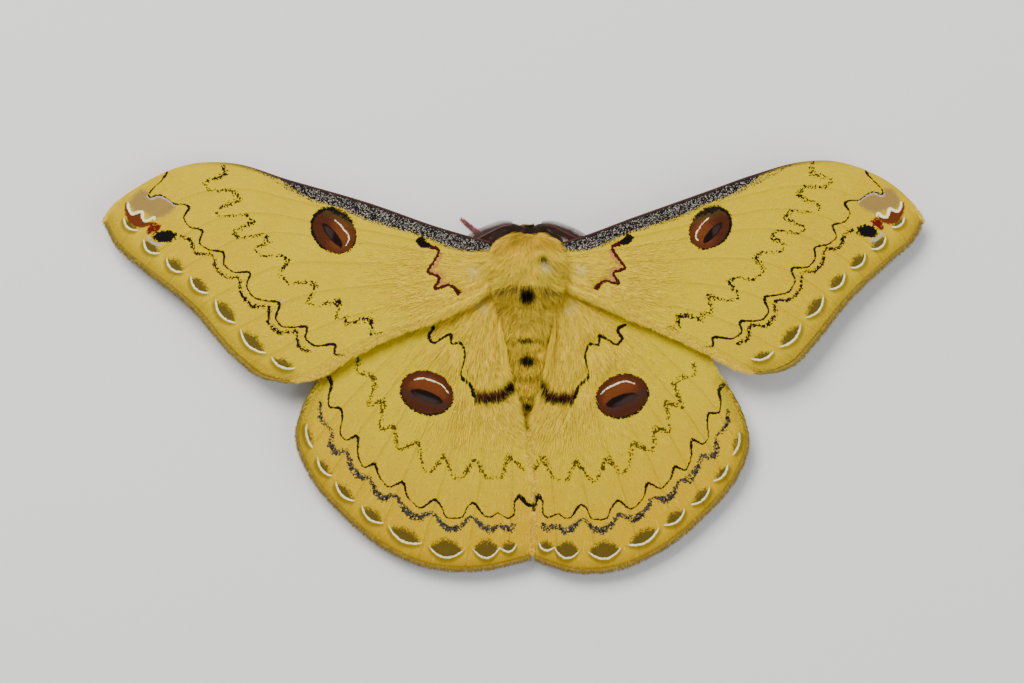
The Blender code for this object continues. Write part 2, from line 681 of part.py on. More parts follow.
def make_leg(name, side, root_y, outer_points):
    """A leg from the flank of the thorax to a flat foot on the floor."""
    half_width, half_height = thorax_half(root_y)
    skin, out = shell_point(root_y, THORAX_Z, half_width, half_height, LEG_ROOT_ANGLE)
    start = skin + ROOT_GAP * out
    anchors = [tuple(start), tuple(start + COXA_LENGTH * out)]
    for index, (x, y, z) in enumerate(outer_points):
        anchors.append((x, y, z if z > 0.0 else LEG_RADII[index + 1] - FOOT_SINK))
    shares = np.linspace(0.0, 1.0, LEG_RINGS)
    line = smooth_points(anchors, shares) * np.array((side, 1.0, 1.0))
    radii = np.interp(shares, np.linspace(0.0, 1.0, len(LEG_RADII)), LEG_RADII)
    vertices, faces = loft(tube_rings(line, radii, LEG_SIDES, floor=0.0))
    return make_object(name, vertices, faces, "leg")


def make_wings():
    """Both pairs of wings."""
    return [
        make_wing("forewing_left", -1, forewing_height, FORE_ROOT_Y,
                  LEFT_FORE_COSTA, LEFT_FORE_OUTER, LEFT_FORE_HIND, FORE_VEINS),
        make_wing("forewing_right", 1, forewing_height, FORE_ROOT_Y,
                  RIGHT_FORE_COSTA, RIGHT_FORE_OUTER, RIGHT_FORE_HIND, FORE_VEINS),
        make_wing("hindwing_left", -1, hindwing_height, HIND_ROOT_Y,
                  LEFT_HIND_COSTA, LEFT_HIND_OUTER, LEFT_HIND_INNER, HIND_VEINS),
        make_wing("hindwing_right", 1, hindwing_height, HIND_ROOT_Y,
                  RIGHT_HIND_COSTA, RIGHT_HIND_OUTER, RIGHT_HIND_INNER, HIND_VEINS),
    ]


def centre_over_origin(pieces):
    """Hang the pieces on an empty that centres their bounding box over the origin."""
    corners = np.array([v.co for piece in pieces for v in piece.data.vertices])
    middle = (corners.min(axis=0) + corners.max(axis=0)) / 2
    holder = bpy.data.objects.new("moth", None)
    bpy.context.scene.collection.objects.link(holder)
    holder.location = (-middle[0], -middle[1], 0.0)
    for piece in pieces:
        piece.parent = holder


def main():
    """Build every piece of the moth."""
    clear_scene()
    draw = random.Random(COAT_SEED)
    pieces = [make_thorax(draw), make_collar(draw), make_abdomen(draw), make_head()]
    for side, word in ((-1, "left"), (1, "right")):
        pieces.append(make_ball("eye_" + word, side, EYE_RADIUS))
        pieces.append(make_antenna("antenna_" + word, side))
    pieces += [make_leg("leg_" + place, side, root_y, points) for place, side, root_y, points in LEGS]
    pieces += make_wings()
    centre_over_origin(pieces)


main()
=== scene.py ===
"""The looks of a yellow saturniid moth (Loepa) at life size, and the studio it rests in.

Everything is laid out in metres in the moth's own frame: the body's middle is x = 0, the head
points to +Y and the floor is z = 0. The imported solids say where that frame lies. The lines,
lunules and eyespots of the wings are given as places in the photo and laid on the wings' own
surfaces, where the shader draws them from signed distances.
"""

import logging
import math
from collections.abc import Callable, Sequence
from dataclasses import dataclass, field
from enum import Enum

import bpy
import numpy as np
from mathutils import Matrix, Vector


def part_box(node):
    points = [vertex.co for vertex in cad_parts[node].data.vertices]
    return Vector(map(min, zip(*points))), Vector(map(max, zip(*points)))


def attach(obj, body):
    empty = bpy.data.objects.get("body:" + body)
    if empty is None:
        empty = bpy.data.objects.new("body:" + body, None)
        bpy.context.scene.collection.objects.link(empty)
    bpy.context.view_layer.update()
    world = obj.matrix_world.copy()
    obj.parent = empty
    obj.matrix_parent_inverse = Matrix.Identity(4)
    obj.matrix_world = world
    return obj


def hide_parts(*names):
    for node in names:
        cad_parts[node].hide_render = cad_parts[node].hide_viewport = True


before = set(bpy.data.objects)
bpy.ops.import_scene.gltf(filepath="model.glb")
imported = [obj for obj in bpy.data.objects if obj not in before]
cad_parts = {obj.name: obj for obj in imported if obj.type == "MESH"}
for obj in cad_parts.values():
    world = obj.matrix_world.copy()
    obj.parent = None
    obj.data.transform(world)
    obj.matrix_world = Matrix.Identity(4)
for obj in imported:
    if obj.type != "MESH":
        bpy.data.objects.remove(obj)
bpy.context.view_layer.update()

LOG = logging.getLogger("moth")
SEED = 11
MM = 0.001
FLOOR_CLEAR = 0.00004
BLOCK_ROWS = 3000
FAR = 50.0
UP = np.array((0.0, 0.0, 1.0))

Array = np.ndarray
Point = tuple[float, ...]
Points = tuple[Point, ...]
Colour = tuple[float, float, float]
Height = Callable[[Array, Array], Array]
Socket = bpy.types.NodeSocket
Material = bpy.types.Material


class Side(Enum):
    """Which side of the body a piece is on."""

    LEFT = -1
    RIGHT = 1

    def word(self) -> str:
        """The side's name, as the solids spell it."""
        return self.name.lower()


class Pair(Enum):
    """Which pair a wing belongs to."""

    FORE = "forewing"
    HIND = "hindwing"


def linear(red: int, green: int, blue: int) -> Colour:
    """A display colour of 0 to 255 as light intensities.

    Args:
        red: display value of red.
        green: display value of green.
        blue: display value of blue.

    Returns:
        The three intensities from 0 to 1.
    """
    shown = [value / 255.0 for value in (red, green, blue)]
    return tuple(s / 12.92 if s < 0.04045 else ((s + 0.055) / 1.055) ** 2.4 for s in shown)


def unit(vectors: Array) -> Array:
    """Vectors scaled to a length of one."""
    return vectors / np.maximum(np.linalg.norm(vectors, axis=-1, keepdims=True), 1e-12)


def ease(low: float, high: float, values: Array) -> Array:
    """Smooth step of an array from 0 at low to 1 at high."""
    t = np.clip((values - low) / (high - low), 0.0, 1.0)
    return t * t * (3.0 - 2.0 * t)


def stacked(*parts: Array | float) -> Array:
    """Arrays and plain numbers side by side, along a new last axis."""
    return np.stack(np.broadcast_arrays(*parts), axis=-1)


def read_rows(at: Array | float, places: Array, rows: Array) -> Array:
    """Rows of numbers, read between the places that they belong to."""
    return np.stack([np.interp(at, places, rows[:, k]) for k in range(rows.shape[1])], axis=-1)


def smooth_curve(anchors: Sequence[Point], count: int, sharp: float = 0.0) -> Array:
    """A smooth curve through anchor points, evenly spaced along its length.

    Args:
        anchors: points with any number of coordinates.
        count: how many points to return.
        sharp: how far each bend is drawn to a point, from 0 to 1.

    Returns:
        An array of count points.
    """
    anchors = np.array(anchors, float)
    chord = np.concatenate([[0.0], np.cumsum(np.linalg.norm(np.diff(anchors[:, :2], axis=0), axis=1))])
    slopes = np.gradient(anchors, chord, axis=0) * (1.0 - sharp)
    dense = np.linspace(0.0, chord[-1], 40 * len(anchors))
    span = np.clip(np.searchsorted(chord, dense, side="right") - 1, 0, len(chord) - 2)
    width = (chord[span + 1] - chord[span])[:, None]
    t = (dense - chord[span])[:, None] / width
    curve = (
        (2 * t**3 - 3 * t**2 + 1) * anchors[span]
        + (t**3 - 2 * t**2 + t) * width * slopes[span]
        + (3 * t**2 - 2 * t**3) * anchors[span + 1]
        + (t**3 - t**2) * width * slopes[span + 1]
    )
    run = np.concatenate([[0.0], np.cumsum(np.linalg.norm(np.diff(curve[:, :2], axis=0), axis=1))])
    return read_rows(np.linspace(0.0, run[-1], count), run, curve)


def signed_distance(points: Array, line: Array) -> tuple[Array, Array]:
    """Distance of plan points to a line, with its sign telling the side.

    Args:
        points: plan points, one a row.
        line: the line's points in order, with a third value that is carried along.

    Returns:
        The signed distances, and the carried value at the nearest place, 0 beyond the ends.
    """
    start, step = line[:-1], np.diff(line, axis=0)
    squared = np.maximum((step[:, :2] ** 2).sum(axis=1), 1e-18)
    distance, carried = np.empty(len(points)), np.empty(len(points))
    last = len(start) - 1
    for first in range(0, len(points), BLOCK_ROWS):
        part = slice(first, first + BLOCK_ROWS)
        block = points[part, None, :2] - start[None, :, :2]
        share = np.clip((block * step[None, :, :2]).sum(axis=2) / squared, 0.0, 1.0)
        away = block - share[..., None] * step[None, :, :2]
        squares = (away**2).sum(axis=2)
        cross = step[None, :, 0] * block[..., 1] - step[None, :, 1] * block[..., 0]
        pick = np.argmin(squares - 1e-4 * cross**2 / squared, axis=1)
        rows = np.arange(len(pick))
        sign = np.where(cross[rows, pick] >= 0.0, 1.0, -1.0)
        at = share[rows, pick]
        beyond = ((pick == 0) & (at <= 0.0)) | ((pick == last) & (at >= 1.0))
        distance[part] = sign * np.sqrt(squares[rows, pick])
        value = start[pick, 2] + at * step[pick, 2]
        carried[part] = np.where(beyond, 0.0, value)
    return distance, carried


def polygon_depth(points: Array, corners: Array) -> Array:
    """How deep plan points lie inside a polygon, negative outside.

    Args:
        points: plan points, one a row.
        corners: the polygon's corners in order.

    Returns:
        Depths in the points' own unit.
    """
    closed = np.vstack([corners, corners[:1]])
    ring = np.column_stack([closed, np.ones(len(closed))])
    distance = np.abs(signed_distance(points, ring)[0])
    inside = np.zeros(len(points), bool)
    for (ax, ay), (bx, by) in zip(closed[:-1], closed[1:]):
        crosses = (ay > points[:, 1]) != (by > points[:, 1])
        slope = (bx - ax) / (by - ay) if by != ay else 0.0
        inside ^= crosses & (points[:, 0] < ax + slope * (points[:, 1] - ay))
    return np.where(inside, distance, -distance)


@dataclass(frozen=True)
class PhotoView:
    """Where the picture is taken from, in the moth's own frame."""

    width: int = 1024
    height: int = 683
    lens: float = 100.0
    sensor: float = 36.0
    elevation: float = math.radians(82.0)
    distance: float = 0.347733
    aim: Point = (-0.00183375, -0.00911168, 0.0)

    def towards(self) -> Array:
        """Unit vector from the aim to the camera."""
        return np.array((0.0, -math.cos(self.elevation), math.sin(self.elevation)))

    def to_plan(self, pixels: Sequence[Point], height: Height) -> Array:
        """Places on a surface that are seen at places in the photo.

        Args:
            pixels: photo places, in pixels from the top left corner.
            height: the surface's height over the plan.

        Returns:
            Plan points in metres, one a row.
        """
        seen = np.array([p[:2] for p in pixels], float)
        focal = self.lens / self.sensor * self.width
        upward = np.array((0.0, math.sin(self.elevation), math.cos(self.elevation)))
        across = (seen[:, 0] - self.width / 2) / focal
        rise = (self.height / 2 - seen[:, 1]) / focal
        eye = np.array(self.aim) + self.distance * self.towards()
        rays = -self.towards() + across[:, None] * np.array((1.0, 0.0, 0.0)) + rise[:, None] * upward
        level = np.full(len(seen), 3 * MM)
        for _ in range(12):
            hit = eye + rays * ((level - eye[2]) / rays[:, 2])[:, None]
            level = height(hit[:, 0], hit[:, 1])
        return hit[:, :2]


@dataclass(frozen=True)
class Lay:
    """Heights of the resting moth's surfaces, the same as its solids have."""

    centre_y: float = -0.008
    reach: Point = (0.050, 0.036)
    top: float = 0.0044
    rim: float = 0.0013
    power: float = 1.3
    fore_lift: float = 0.00125
    ride_clear: float = 0.00073
    rounding: float = 0.0004
    steepness: float = 3.0
    thorax_y: float = -0.0010
    thorax_z: float = 0.0049
    thorax_half: Point = (0.0035, 0.0046, 0.0033)
    abdomen: Points = (
        (-0.0048, 0.00420, 0.00225), (-0.0070, 0.00405, 0.00250), (-0.0100, 0.00360, 0.00245),
        (-0.0132, 0.00300, 0.00220), (-0.0168, 0.00195, 0.00180), (-0.0182, 0.00145, 0.00160),
        (-0.0196, 0.00120, 0.00130), (-0.0204, 0.00110, 0.00080), (-0.0208, 0.00105, 0.00030),
    )

    def section(self, y: Array) -> tuple[Array, Array]:
        """Height of the abdomen's middle and its radius at a place along Y."""
        rows = np.array(self.abdomen[::-1])
        return np.interp(y, rows[:, 0], rows[:, 1]), np.interp(y, rows[:, 0], rows[:, 2])

    def dome(self, x: Array, y: Array) -> Array:
        """The shallow dome that all four wings lie on."""
        reach = np.sqrt((x / self.reach[0]) ** 2 + ((y - self.centre_y) / self.reach[1]) ** 2)
        return self.rim + (self.top - self.rim) * (1.0 - np.clip(reach, 0.0, 1.0) ** self.power)

    def fore(self, x: Array, y: Array) -> Array:
        """The forewings' middle surface."""
        return self.dome(x, y) + self.fore_lift

    def hind(self, x: Array, y: Array) -> Array:
        """The hindwings' middle surface, which rides up the flanks of the abdomen."""
        middle, radius = self.section(y)
        clear = radius + self.ride_clear
        beside = np.clip(np.abs(x) - clear, 0.0, None)
        over = middle + np.sqrt(np.clip(clear**2 - x**2, 0.0, None)) - self.steepness * beside
        over = np.where(y < self.abdomen[-1][0], 0.0, over)
        low = self.dome(x, y)
        return (low + over + np.sqrt((low - over) ** 2 + self.rounding**2)) / 2.0


PHOTO = PhotoView()
LAY = Lay()
CLUMPS = np.random.default_rng(SEED).normal(size=(4096, 3))


class Value:
    """A number in a shader, with Python's arithmetic."""

    def __init__(self, shader: "Shader", socket: Socket) -> None:
        """Wrap a socket.

        Args:
            shader: the shader that the socket belongs to.
            socket: an output socket that carries a number.
        """
        self.shader = shader
        self.socket = socket

    def __add__(self, other: "Value | float") -> "Value":
        """Sum."""
        return self.shader.maths("ADD", self, other)

    __radd__ = __add__

    def __mul__(self, other: "Value | float") -> "Value":
        """Product."""
        return self.shader.maths("MULTIPLY", self, other)

    __rmul__ = __mul__

    def __sub__(self, other: "Value | float") -> "Value":
        """Difference."""
        return self.shader.maths("SUBTRACT", self, other)

    def __rsub__(self, other: float) -> "Value":
        """Difference from a plain number."""
        return self.shader.maths("SUBTRACT", other, self)

    def __abs__(self) -> "Value":
        """Size without its sign."""
        return self.shader.maths("ABSOLUTE", self)

    def ease(self, low: float, high: float) -> "Value":
        """Smooth step from 0 at low to 1 at high.

        Args:
            low: where it starts to rise.
            high: where it has risen.

        Returns:
            A number from 0 to 1.
        """
        made = self.shader.node(
            "ShaderNodeMapRange",
            {"interpolation_type": "SMOOTHSTEP"},
            {"Value": self, "From Min": low, "From Max": high},
        )
        return Value(self.shader, made.outputs["Result"])


class Shader:
    """A principled material whose nodes are written as expressions."""

    def __init__(self, name: str, roughness: float, **constants: float) -> None:
        """Start a material.

        Args:
            name: the material's name.
            roughness: its roughness all over.
            constants: other numbers for the principled shader's own sockets.
        """
        self.material = bpy.data.materials.new(name)
        self.material.use_nodes = True
        self.tree = self.material.node_tree
        self.surface = self.tree.nodes["Principled BSDF"]
        self.surface.inputs["Roughness"].default_value = roughness
        for socket, value in constants.items():
            self.surface.inputs[socket.replace("_", " ")].default_value = value

    def node(
        self,
        kind: str,
        settings: dict[str, object] | None = None,
        sockets: dict[object, object] | None = None,
    ) -> bpy.types.Node:
        """Make one node.

        Args:
            kind: the node's type.
            settings: its properties, set first.
            sockets: values or links for its inputs, by name or number.

        Returns:
            The node.
        """
        made = self.tree.nodes.new(kind)
        for name, value in (settings or {}).items():
            setattr(made, name, value)
        for key, value in (sockets or {}).items():
            source = value.socket if isinstance(value, Value) else value
            if isinstance(source, Socket):
                self.tree.links.new(source, made.inputs[key])
            else:
                made.inputs[key].default_value = source
        return made

    def maths(self, operation: str, *values: "Value | float") -> Value:
        """A Math node on one or two numbers."""
        made = self.node("ShaderNodeMath", {"operation": operation}, dict(enumerate(values)))
        return Value(self, made.outputs[0])

    def field(self, name: str) -> Value:
        """A number that the mesh carries at its points."""
        return Value(self, self.node("ShaderNodeAttribute", {"attribute_name": name}).outputs["Fac"])

    def vector(self, name: str) -> Socket:
        """A vector that the mesh carries at its points."""
        return self.node("ShaderNodeAttribute", {"attribute_name": name}).outputs["Vector"]

    def place(self) -> Socket:
        """The place on the object."""
        return self.node("ShaderNodeTexCoord").outputs["Object"]

    def noise(self, where: Socket, scale: float, detail: float = 2.0) -> Value:
        """Cloudy noise of 0 to 1.

        Args:
            where: the vector it is read at.
            scale: how many clouds go into one unit.
            detail: how many finer layers are added.

        Returns:
            The noise.
        """
        made = self.node("ShaderNodeTexNoise", None, {"Vector": where, "Scale": scale, "Detail": detail})
        return Value(self, made.outputs["Fac"])

    def grains(self, where: Socket, size: float) -> tuple[Value, Value]:
        """Two random numbers for each tiny scale of the wing.

        Args:
            where: the vector they are read at.
            size: the scales' width in that vector's unit.

        Returns:
            Two numbers from 0 to 1, the same all over one scale.
        """
        made = self.node("ShaderNodeTexVoronoi", None, {"Vector": where, "Scale": 1.0 / size})
        parts = self.node("ShaderNodeSeparateColor", None, {0: made.outputs["Color"]})
        return Value(self, parts.outputs[0]), Value(self, parts.outputs[1])

    def mix(self, factor: Value, under: object, over: object) -> Socket:
        """Lay one colour over another.

        Args:
            factor: how much of the upper colour shows.
            under: the lower colour, a socket or three intensities.
            over: the upper colour, a socket or three intensities.

        Returns:
            The mixed colour.
        """
        pair = [(*c, 1.0) if isinstance(c, tuple) else c for c in (under, over)]
        made = self.node("ShaderNodeMix", {"data_type": "RGBA"}, {0: factor, 6: pair[0], 7: pair[1]})
        return made.outputs[2]

    def scaled(self, colour: Socket, by: Value) -> Socket:
        """A colour made lighter or darker by a number."""
        made = self.node("ShaderNodeVectorMath", {"operation": "SCALE"}, {0: colour, "Scale": by})
        return made.outputs[0]

    def finish(self, colour: object, height: Value | None = None, depth: float = 0.0) -> Material:
        """Link the colour and relief to the surface.

        Args:
            colour: the base colour.
            height: relief from 0 to 1, if any.
            depth: how high that relief is, in metres.

        Returns:
            The finished material.
        """
        if isinstance(colour, tuple):
            self.surface.inputs["Base Color"].default_value = (*colour, 1.0)
        else:
            self.tree.links.new(colour, self.surface.inputs["Base Color"])
        if height is not None:
            bump = self.node("ShaderNodeBump", None, {"Height": height, "Distance": depth})
            self.tree.links.new(bump.outputs[0], self.surface.inputs["Normal"])
        return self.material


class WingPainter(Shader):
    """The wings' material, painted layer by layer from the fields that the mesh carries."""

    def __init__(self, inks: "WingScales") -> None:
        """Start the material, with two sizes of scales.

        Args:
            inks: its colours.
        """
        super().__init__("wing_scales", roughness=0.75, Specular_IOR_Level=0.08)
        self.inks = inks
        self.colour: object = inks.yellow
        self.grain, self.other = self.grains(self.place(), 0.00009)
        self.coarse, self.scatter = self.grains(self.place(), 0.00017)

    def lay(self, cover: Value, over: object) -> None:
        """Lay a colour over the wing so far."""
        self.colour = self.mix(cover, self.colour, over)

    def line(self, name: str, half: float, ragged: float) -> Value:
        """Where a drawn line covers the wing.

        Args:
            name: the line's field.
            half: its half width in millimetres at full ink.
            ragged: how far single scales stray from its edge, in millimetres.

        Returns:
            A number from 0 to 1.
        """
        ink = self.field(name + "_ink")
        stray = (self.coarse - 0.5) * (ink * 3.0).ease(0.0, 1.0) * ragged
        return (ink * half + stray - abs(self.field(name))).ease(0.0, 0.05)

    def ground(self) -> Value:
        """Lay the yellow under the markings.

        Returns:
            Its fine streaks.
        """
        streak = self.noise(self.vector("flow"), 1.0, 3.0)
        cloud = self.noise(self.place(), 180.0, 2.0)
        self.lay((self.field("gold") + (cloud - 0.5) * 0.5).ease(0.0, 1.0), self.inks.gold)
        self.lay((streak - 0.5).ease(0.04, 0.2) * 0.5, self.inks.pale)
        # olive along each vein: painted shade beside the raised veins, partly the veins' own darker colour
        self.lay((0.18 - self.field("vein")).ease(0.0, 0.16) * 0.2, self.inks.olive)
        self.colour = self.scaled(self.colour, 0.88 + self.grain * 0.06 + streak * 0.16)
        return streak

    def lunules(self) -> None:
        """Lay the white arcs along the margin, with an olive smudge inside each."""
        a, b, bulge = self.field("arc_a"), self.field("arc_b"), self.field("arc_bulge")
        grain, dip = self.coarse, 1.0 - a * a
        off = b - bulge * dip
        smudge = (0.12 - off).ease(0.0, 0.2) * (b + bulge * dip * 1.1 + grain * 0.5 - 0.1).ease(0.0, 0.7)
        self.lay(smudge * (1.05 - a).ease(0.0, 0.25) * 0.9, self.inks.olive)
        outside = (0.95 - off).ease(0.0, 0.6) * off.ease(0.0, 0.25) * (1.25 - a).ease(0.0, 0.4)
        self.lay(outside * 0.6, self.inks.olive)
        arc = (0.14 * (dip + 0.35).ease(0.0, 0.8) + (grain - 0.5) * 0.1 - abs(off)).ease(0.0, 0.06)
        self.lay(arc * (1.08 - a).ease(0.0, 0.12), self.inks.cream)

    def apex(self) -> None:
        """Lay the tan, white, red and black patch near the forewing's tip."""
        inks, stray = self.inks, (self.coarse - 0.5) * 0.3
        self.lay((self.field("tan") + stray).ease(-0.35, 0.3) * 0.9, inks.tan)
        self.lay((self.field("ember") + stray * 0.6).ease(-0.16, 0.02), inks.ember)
        self.lay((self.field("blood") + stray * 0.6).ease(-0.16, 0.0), inks.blood)
        self.lay(self.line("zig", 0.19, 0.12), inks.cream)
        self.lay(self.line("lilac", 0.13, 0.14) * 0.85, inks.lilac)
        self.lay((1.0 - self.field("blot") + stray * 1.3).ease(-0.03, 0.08), inks.black)

    def lines(self) -> None:
        """Lay the dark lines that cross the wing."""
        inks, hind = self.inks, self.field("blue")
        second = self.mix(hind * (self.other - 0.45).ease(0.0, 0.05), inks.black, inks.slate)
        for name, half, ragged, share, ink in (
            ("inner", 0.19, 0.42, (0.75 - self.scatter).ease(0.0, 0.05) * (1.0 - hind * 0.1), inks.black),
            ("side", 0.26, 0.34, (0.9 - self.scatter).ease(0.0, 0.05), second),
            ("main", 0.125, 0.13, 1.0, inks.black),
            ("blush", 0.28, 0.3, 0.65, self.mix(hind, inks.pink, inks.maroon)),
            ("basal", 0.235, 0.16, 1.0, self.mix(hind, inks.maroon, inks.black)),
            ("knot", 0.2, 0.2, 1.0, inks.black),
        ):
            self.lay(self.line(name, half, ragged) * share, ink)

    def costa(self) -> None:
        """Lay the pepper and salt band along the leading edge."""
        inks, grain = self.inks, self.grain
        dark = self.mix((grain - 0.6).ease(0.0, 0.1), inks.black, inks.rim)
        pepper = self.mix((self.other - 0.78).ease(0.0, 0.03), dark, inks.salt)
        self.lay((self.field("costal") + 0.14 + (grain - 0.5) * 0.5).ease(-0.05, 0.1), pepper)
        near, leading = self.field("rim"), self.field("rim_ink")
        self.lay((0.42 - near + (grain - 0.5) * 0.3).ease(0.0, 0.1) * leading, inks.rim)
        self.lay((0.15 - near).ease(0.0, 0.05) * leading, inks.edge)

    def eyespot(self) -> None:
        """Lay the black-edged orange eyespot with its pupil and white arc."""
        inks, hind, grain, around = self.inks, self.field("blue"), self.coarse - 0.5, self.colour
        spot, lit, pupil, side, cap = (
            self.field(name) for name in ("spot", "spot_lit", "pupil", "pupil_lit", "spot_cap")
        )
        stray = grain * 0.05
        self.colour = inks.russet
        self.lay((lit + grain * 0.3).ease(-0.6, 0.4), inks.orange)
        self.lay((spot + grain * 0.12).ease(0.6, 0.86) * (0.6 + hind * 0.25), inks.russet)
        self.lay((cap + stray * 3.0).ease(0.3, 0.7) * 0.75, inks.olive)
        self.lay((2.0 - pupil).ease(0.0, 0.8) * (0.2 - side).ease(0.0, 0.8) * hind * 0.6, inks.iris)
        soft = 1.0 - (0.1 - side).ease(0.0, 1.0) * hind * 0.8
        self.lay((1.12 - pupil + stray * 2.0).ease(0.0, 0.16) * soft, inks.pupil)
        self.lay((1.0 - pupil + stray).ease(0.0, 0.4) * (0.35 - side).ease(0.0, 0.6) * 0.8, inks.iris)
        self.lay(self.line("glint", 0.085, 0.1), inks.cream)
        self.colour = self.mix((1.0 - spot + stray).ease(0.0, 0.02), around, self.colour)
        hood = (cap + stray * 3.0).ease(0.7, 0.78) * (1.1 - spot + stray * 2.0).ease(0.0, 0.04)
        self.lay(hood * (0.75 + self.coarse * 0.25), inks.black)
        thick = (0.035 + (0.0 - lit).ease(-0.2, 1.0) * 0.04) * (1.0 - hind * 0.35)
        self.lay((thick - abs(spot - 0.985) + stray * 1.5).ease(0.0, 0.02), inks.black)

    def paint(self) -> Material:
        """Lay every layer in order.

        Returns:
            The finished material.
        """
        streak = self.ground()
        for layer in (self.lunules, self.apex, self.lines, self.costa, self.eyespot):
            layer()
        for reach, ragged, fade, share in ((2.1, 0.5, 1.6, 0.36), (0.5, 0.2, 0.3, 0.6)):
            near = (reach - self.field("fringe") + (self.grain - 0.5) * ragged).ease(0.0, fade)
            self.lay(near * share, self.inks.olive)
        return self.finish(self.colour, streak * 0.7 + self.grain * 0.3, 0.00005)


@dataclass(frozen=True)
class WingScales:
    """The wings' scales and the colours of their markings."""

    yellow: Colour = linear(192, 168, 3)
    gold: Colour = linear(186, 145, 3)
    pale: Colour = linear(206, 186, 42)
    black: Colour = linear(10, 8, 7)
    slate: Colour = linear(72, 68, 62)
    olive: Colour = linear(62, 52, 20)
    cream: Colour = linear(226, 226, 184)
    maroon: Colour = linear(58, 8, 18)
    blood: Colour = linear(92, 14, 9)
    pink: Colour = linear(150, 70, 78)
    rim: Colour = linear(42, 32, 32)
    edge: Colour = linear(84, 52, 42)
    salt: Colour = linear(150, 146, 134)
    orange: Colour = linear(98, 49, 18)
    russet: Colour = linear(64, 29, 12)
    pupil: Colour = linear(16, 7, 6)
    iris: Colour = linear(50, 38, 34)
    tan: Colour = linear(132, 106, 62)
    ember: Colour = linear(94, 42, 14)
    lilac: Colour = linear(160, 148, 150)

    def build(self) -> Material:
        """Make the material."""
        return WingPainter(self).paint()


@dataclass(frozen=True)
class Coat:
    """Hair of the body and wings, coloured by what each hair and the skin carry."""

    name: str = "coat"
    yellow: Colour = linear(242, 214, 56)
    gold: Colour = linear(238, 192, 54)
    brown: Colour = linear(52, 38, 30)
    olive: Colour = linear(104, 86, 42)
    maroon: Colour = linear(74, 16, 30)
    black: Colour = linear(12, 9, 8)
    white: Colour = linear(236, 232, 200)
    pink: Colour = linear(136, 70, 80)

    def build(self) -> Material:
        """Make the material."""
        s = Shader(self.name, roughness=0.6, Specular_IOR_Level=0.07)
        tone = s.field("tone")
        colour = s.mix((s.field("gold") + (tone - 0.5) * 0.3).ease(0.0, 1.0), self.yellow, self.gold)
        for name, over in (
            ("white", self.white), ("olive", self.olive), ("brown", self.brown),
            ("pink", self.pink), ("maroon", self.maroon), ("ink", self.black),
        ):
            colour = s.mix(s.field(name).ease(0.0, 1.0), colour, over)
        shade = 0.7 + tone * 0.44 + s.field("along") * 0.18
        return s.finish(s.scaled(colour, shade))


COAT_FIELDS = ("tone", "along", "gold", "white", "olive", "brown", "pink", "maroon", "ink")


@dataclass(frozen=True)
class Glossy:
    """A smooth dark eye with fine facets."""

    colour: Colour = linear(30, 18, 14)
    facet: float = 0.00006

    def build(self) -> Material:
        """Make the material."""
        s = Shader("eye_facets", roughness=0.12, Specular_IOR_Level=0.6)
        made = s.node("ShaderNodeTexVoronoi", None, {"Vector": s.place(), "Scale": 1.0 / self.facet})
        return s.finish(self.colour, 1.0 - Value(s, made.outputs["Distance"]), 0.00001)


@dataclass(frozen=True)
class Horny:
    """Bare horn of the feelers, feet and claws."""

    name: str
    colour: Colour

    def build(self) -> Material:
        """Make the material."""
        s = Shader(self.name, roughness=0.5, Specular_IOR_Level=0.4)
        cloud = s.noise(s.place(), 2500.0)
        dark = tuple(0.6 * part for part in self.colour)
        return s.finish(s.mix(cloud.ease(0.35, 0.65), dark, self.colour), cloud, 0.00002)


def add_object(name: str, data: bpy.types.ID) -> bpy.types.Object:
    """A new object in the scene."""
    made = bpy.data.objects.new(name, data)
    bpy.context.scene.collection.objects.link(made)
    return made


@dataclass
class Piece:
    """A mesh kept as arrays until it is made."""

    name: str
    vertices: Array
    faces: Array
    fields: dict[str, Array] = field(default_factory=dict)
    bake: Array | None = None

    def make(self, material: Material, slot: str, replaced: Sequence[str] = ()) -> bpy.types.Object:
        """Turn the arrays into an object that rides on the part.

        Args:
            material: its finish.
            slot: the record's material slot that it stands for; not used.
            replaced: the solids that it replaces.

        Returns:
            The object.
        """
        mesh = bpy.data.meshes.new(self.name)
        mesh.vertices.add(len(self.vertices))
        mesh.vertices.foreach_set("co", (self.vertices + ORIGIN).astype(np.float32).ravel())
        mesh.loops.add(self.faces.size)
        mesh.loops.foreach_set("vertex_index", self.faces.astype(np.int32).ravel())
        mesh.polygons.add(len(self.faces))
        mesh.polygons.foreach_set("loop_start", np.arange(0, self.faces.size, 3, dtype=np.int32))
        mesh.update(calc_edges=True)
        for name, values in self.fields.items():
            kind, key = ("FLOAT", "value") if values.ndim == 1 else ("FLOAT_VECTOR", "vector")
            mesh.attributes.new(name, kind, "POINT").data.foreach_set(key, values.astype(np.float32).ravel())
        if self.bake is not None:
            layer = mesh.uv_layers.new(name="OFBake")
            layer.data.foreach_set("uv", self.bake[self.faces.ravel()].astype(np.float32).ravel())
        mesh.shade_smooth()
        mesh.materials.append(material)
        made = add_object(self.name, mesh)
        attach(made, "root")
        if replaced:
            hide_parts(*replaced)
        LOG.info("%s: %d triangles", self.name, len(self.faces))
        return made


def grid_faces(rows: int, columns: int, start: int = 0, wrap: bool = False) -> Array:
    """Triangles between the points of a grid.

    Args:
        rows: how many rows of points.
        columns: how many points in a row.
        start: number of the first point.
        wrap: whether the last column joins the first.

    Returns:
        Triangles as rows of three point numbers.
    """
    across = np.arange(columns if wrap else columns - 1)
    row, column = np.meshgrid(np.arange(rows - 1), across, indexing="ij")
    a = start + row * columns + column
    b = start + row * columns + (column + 1) % columns
    c, d = b + columns, a + columns
    return np.concatenate([stacked(a, b, c).reshape(-1, 3), stacked(a, c, d).reshape(-1, 3)])


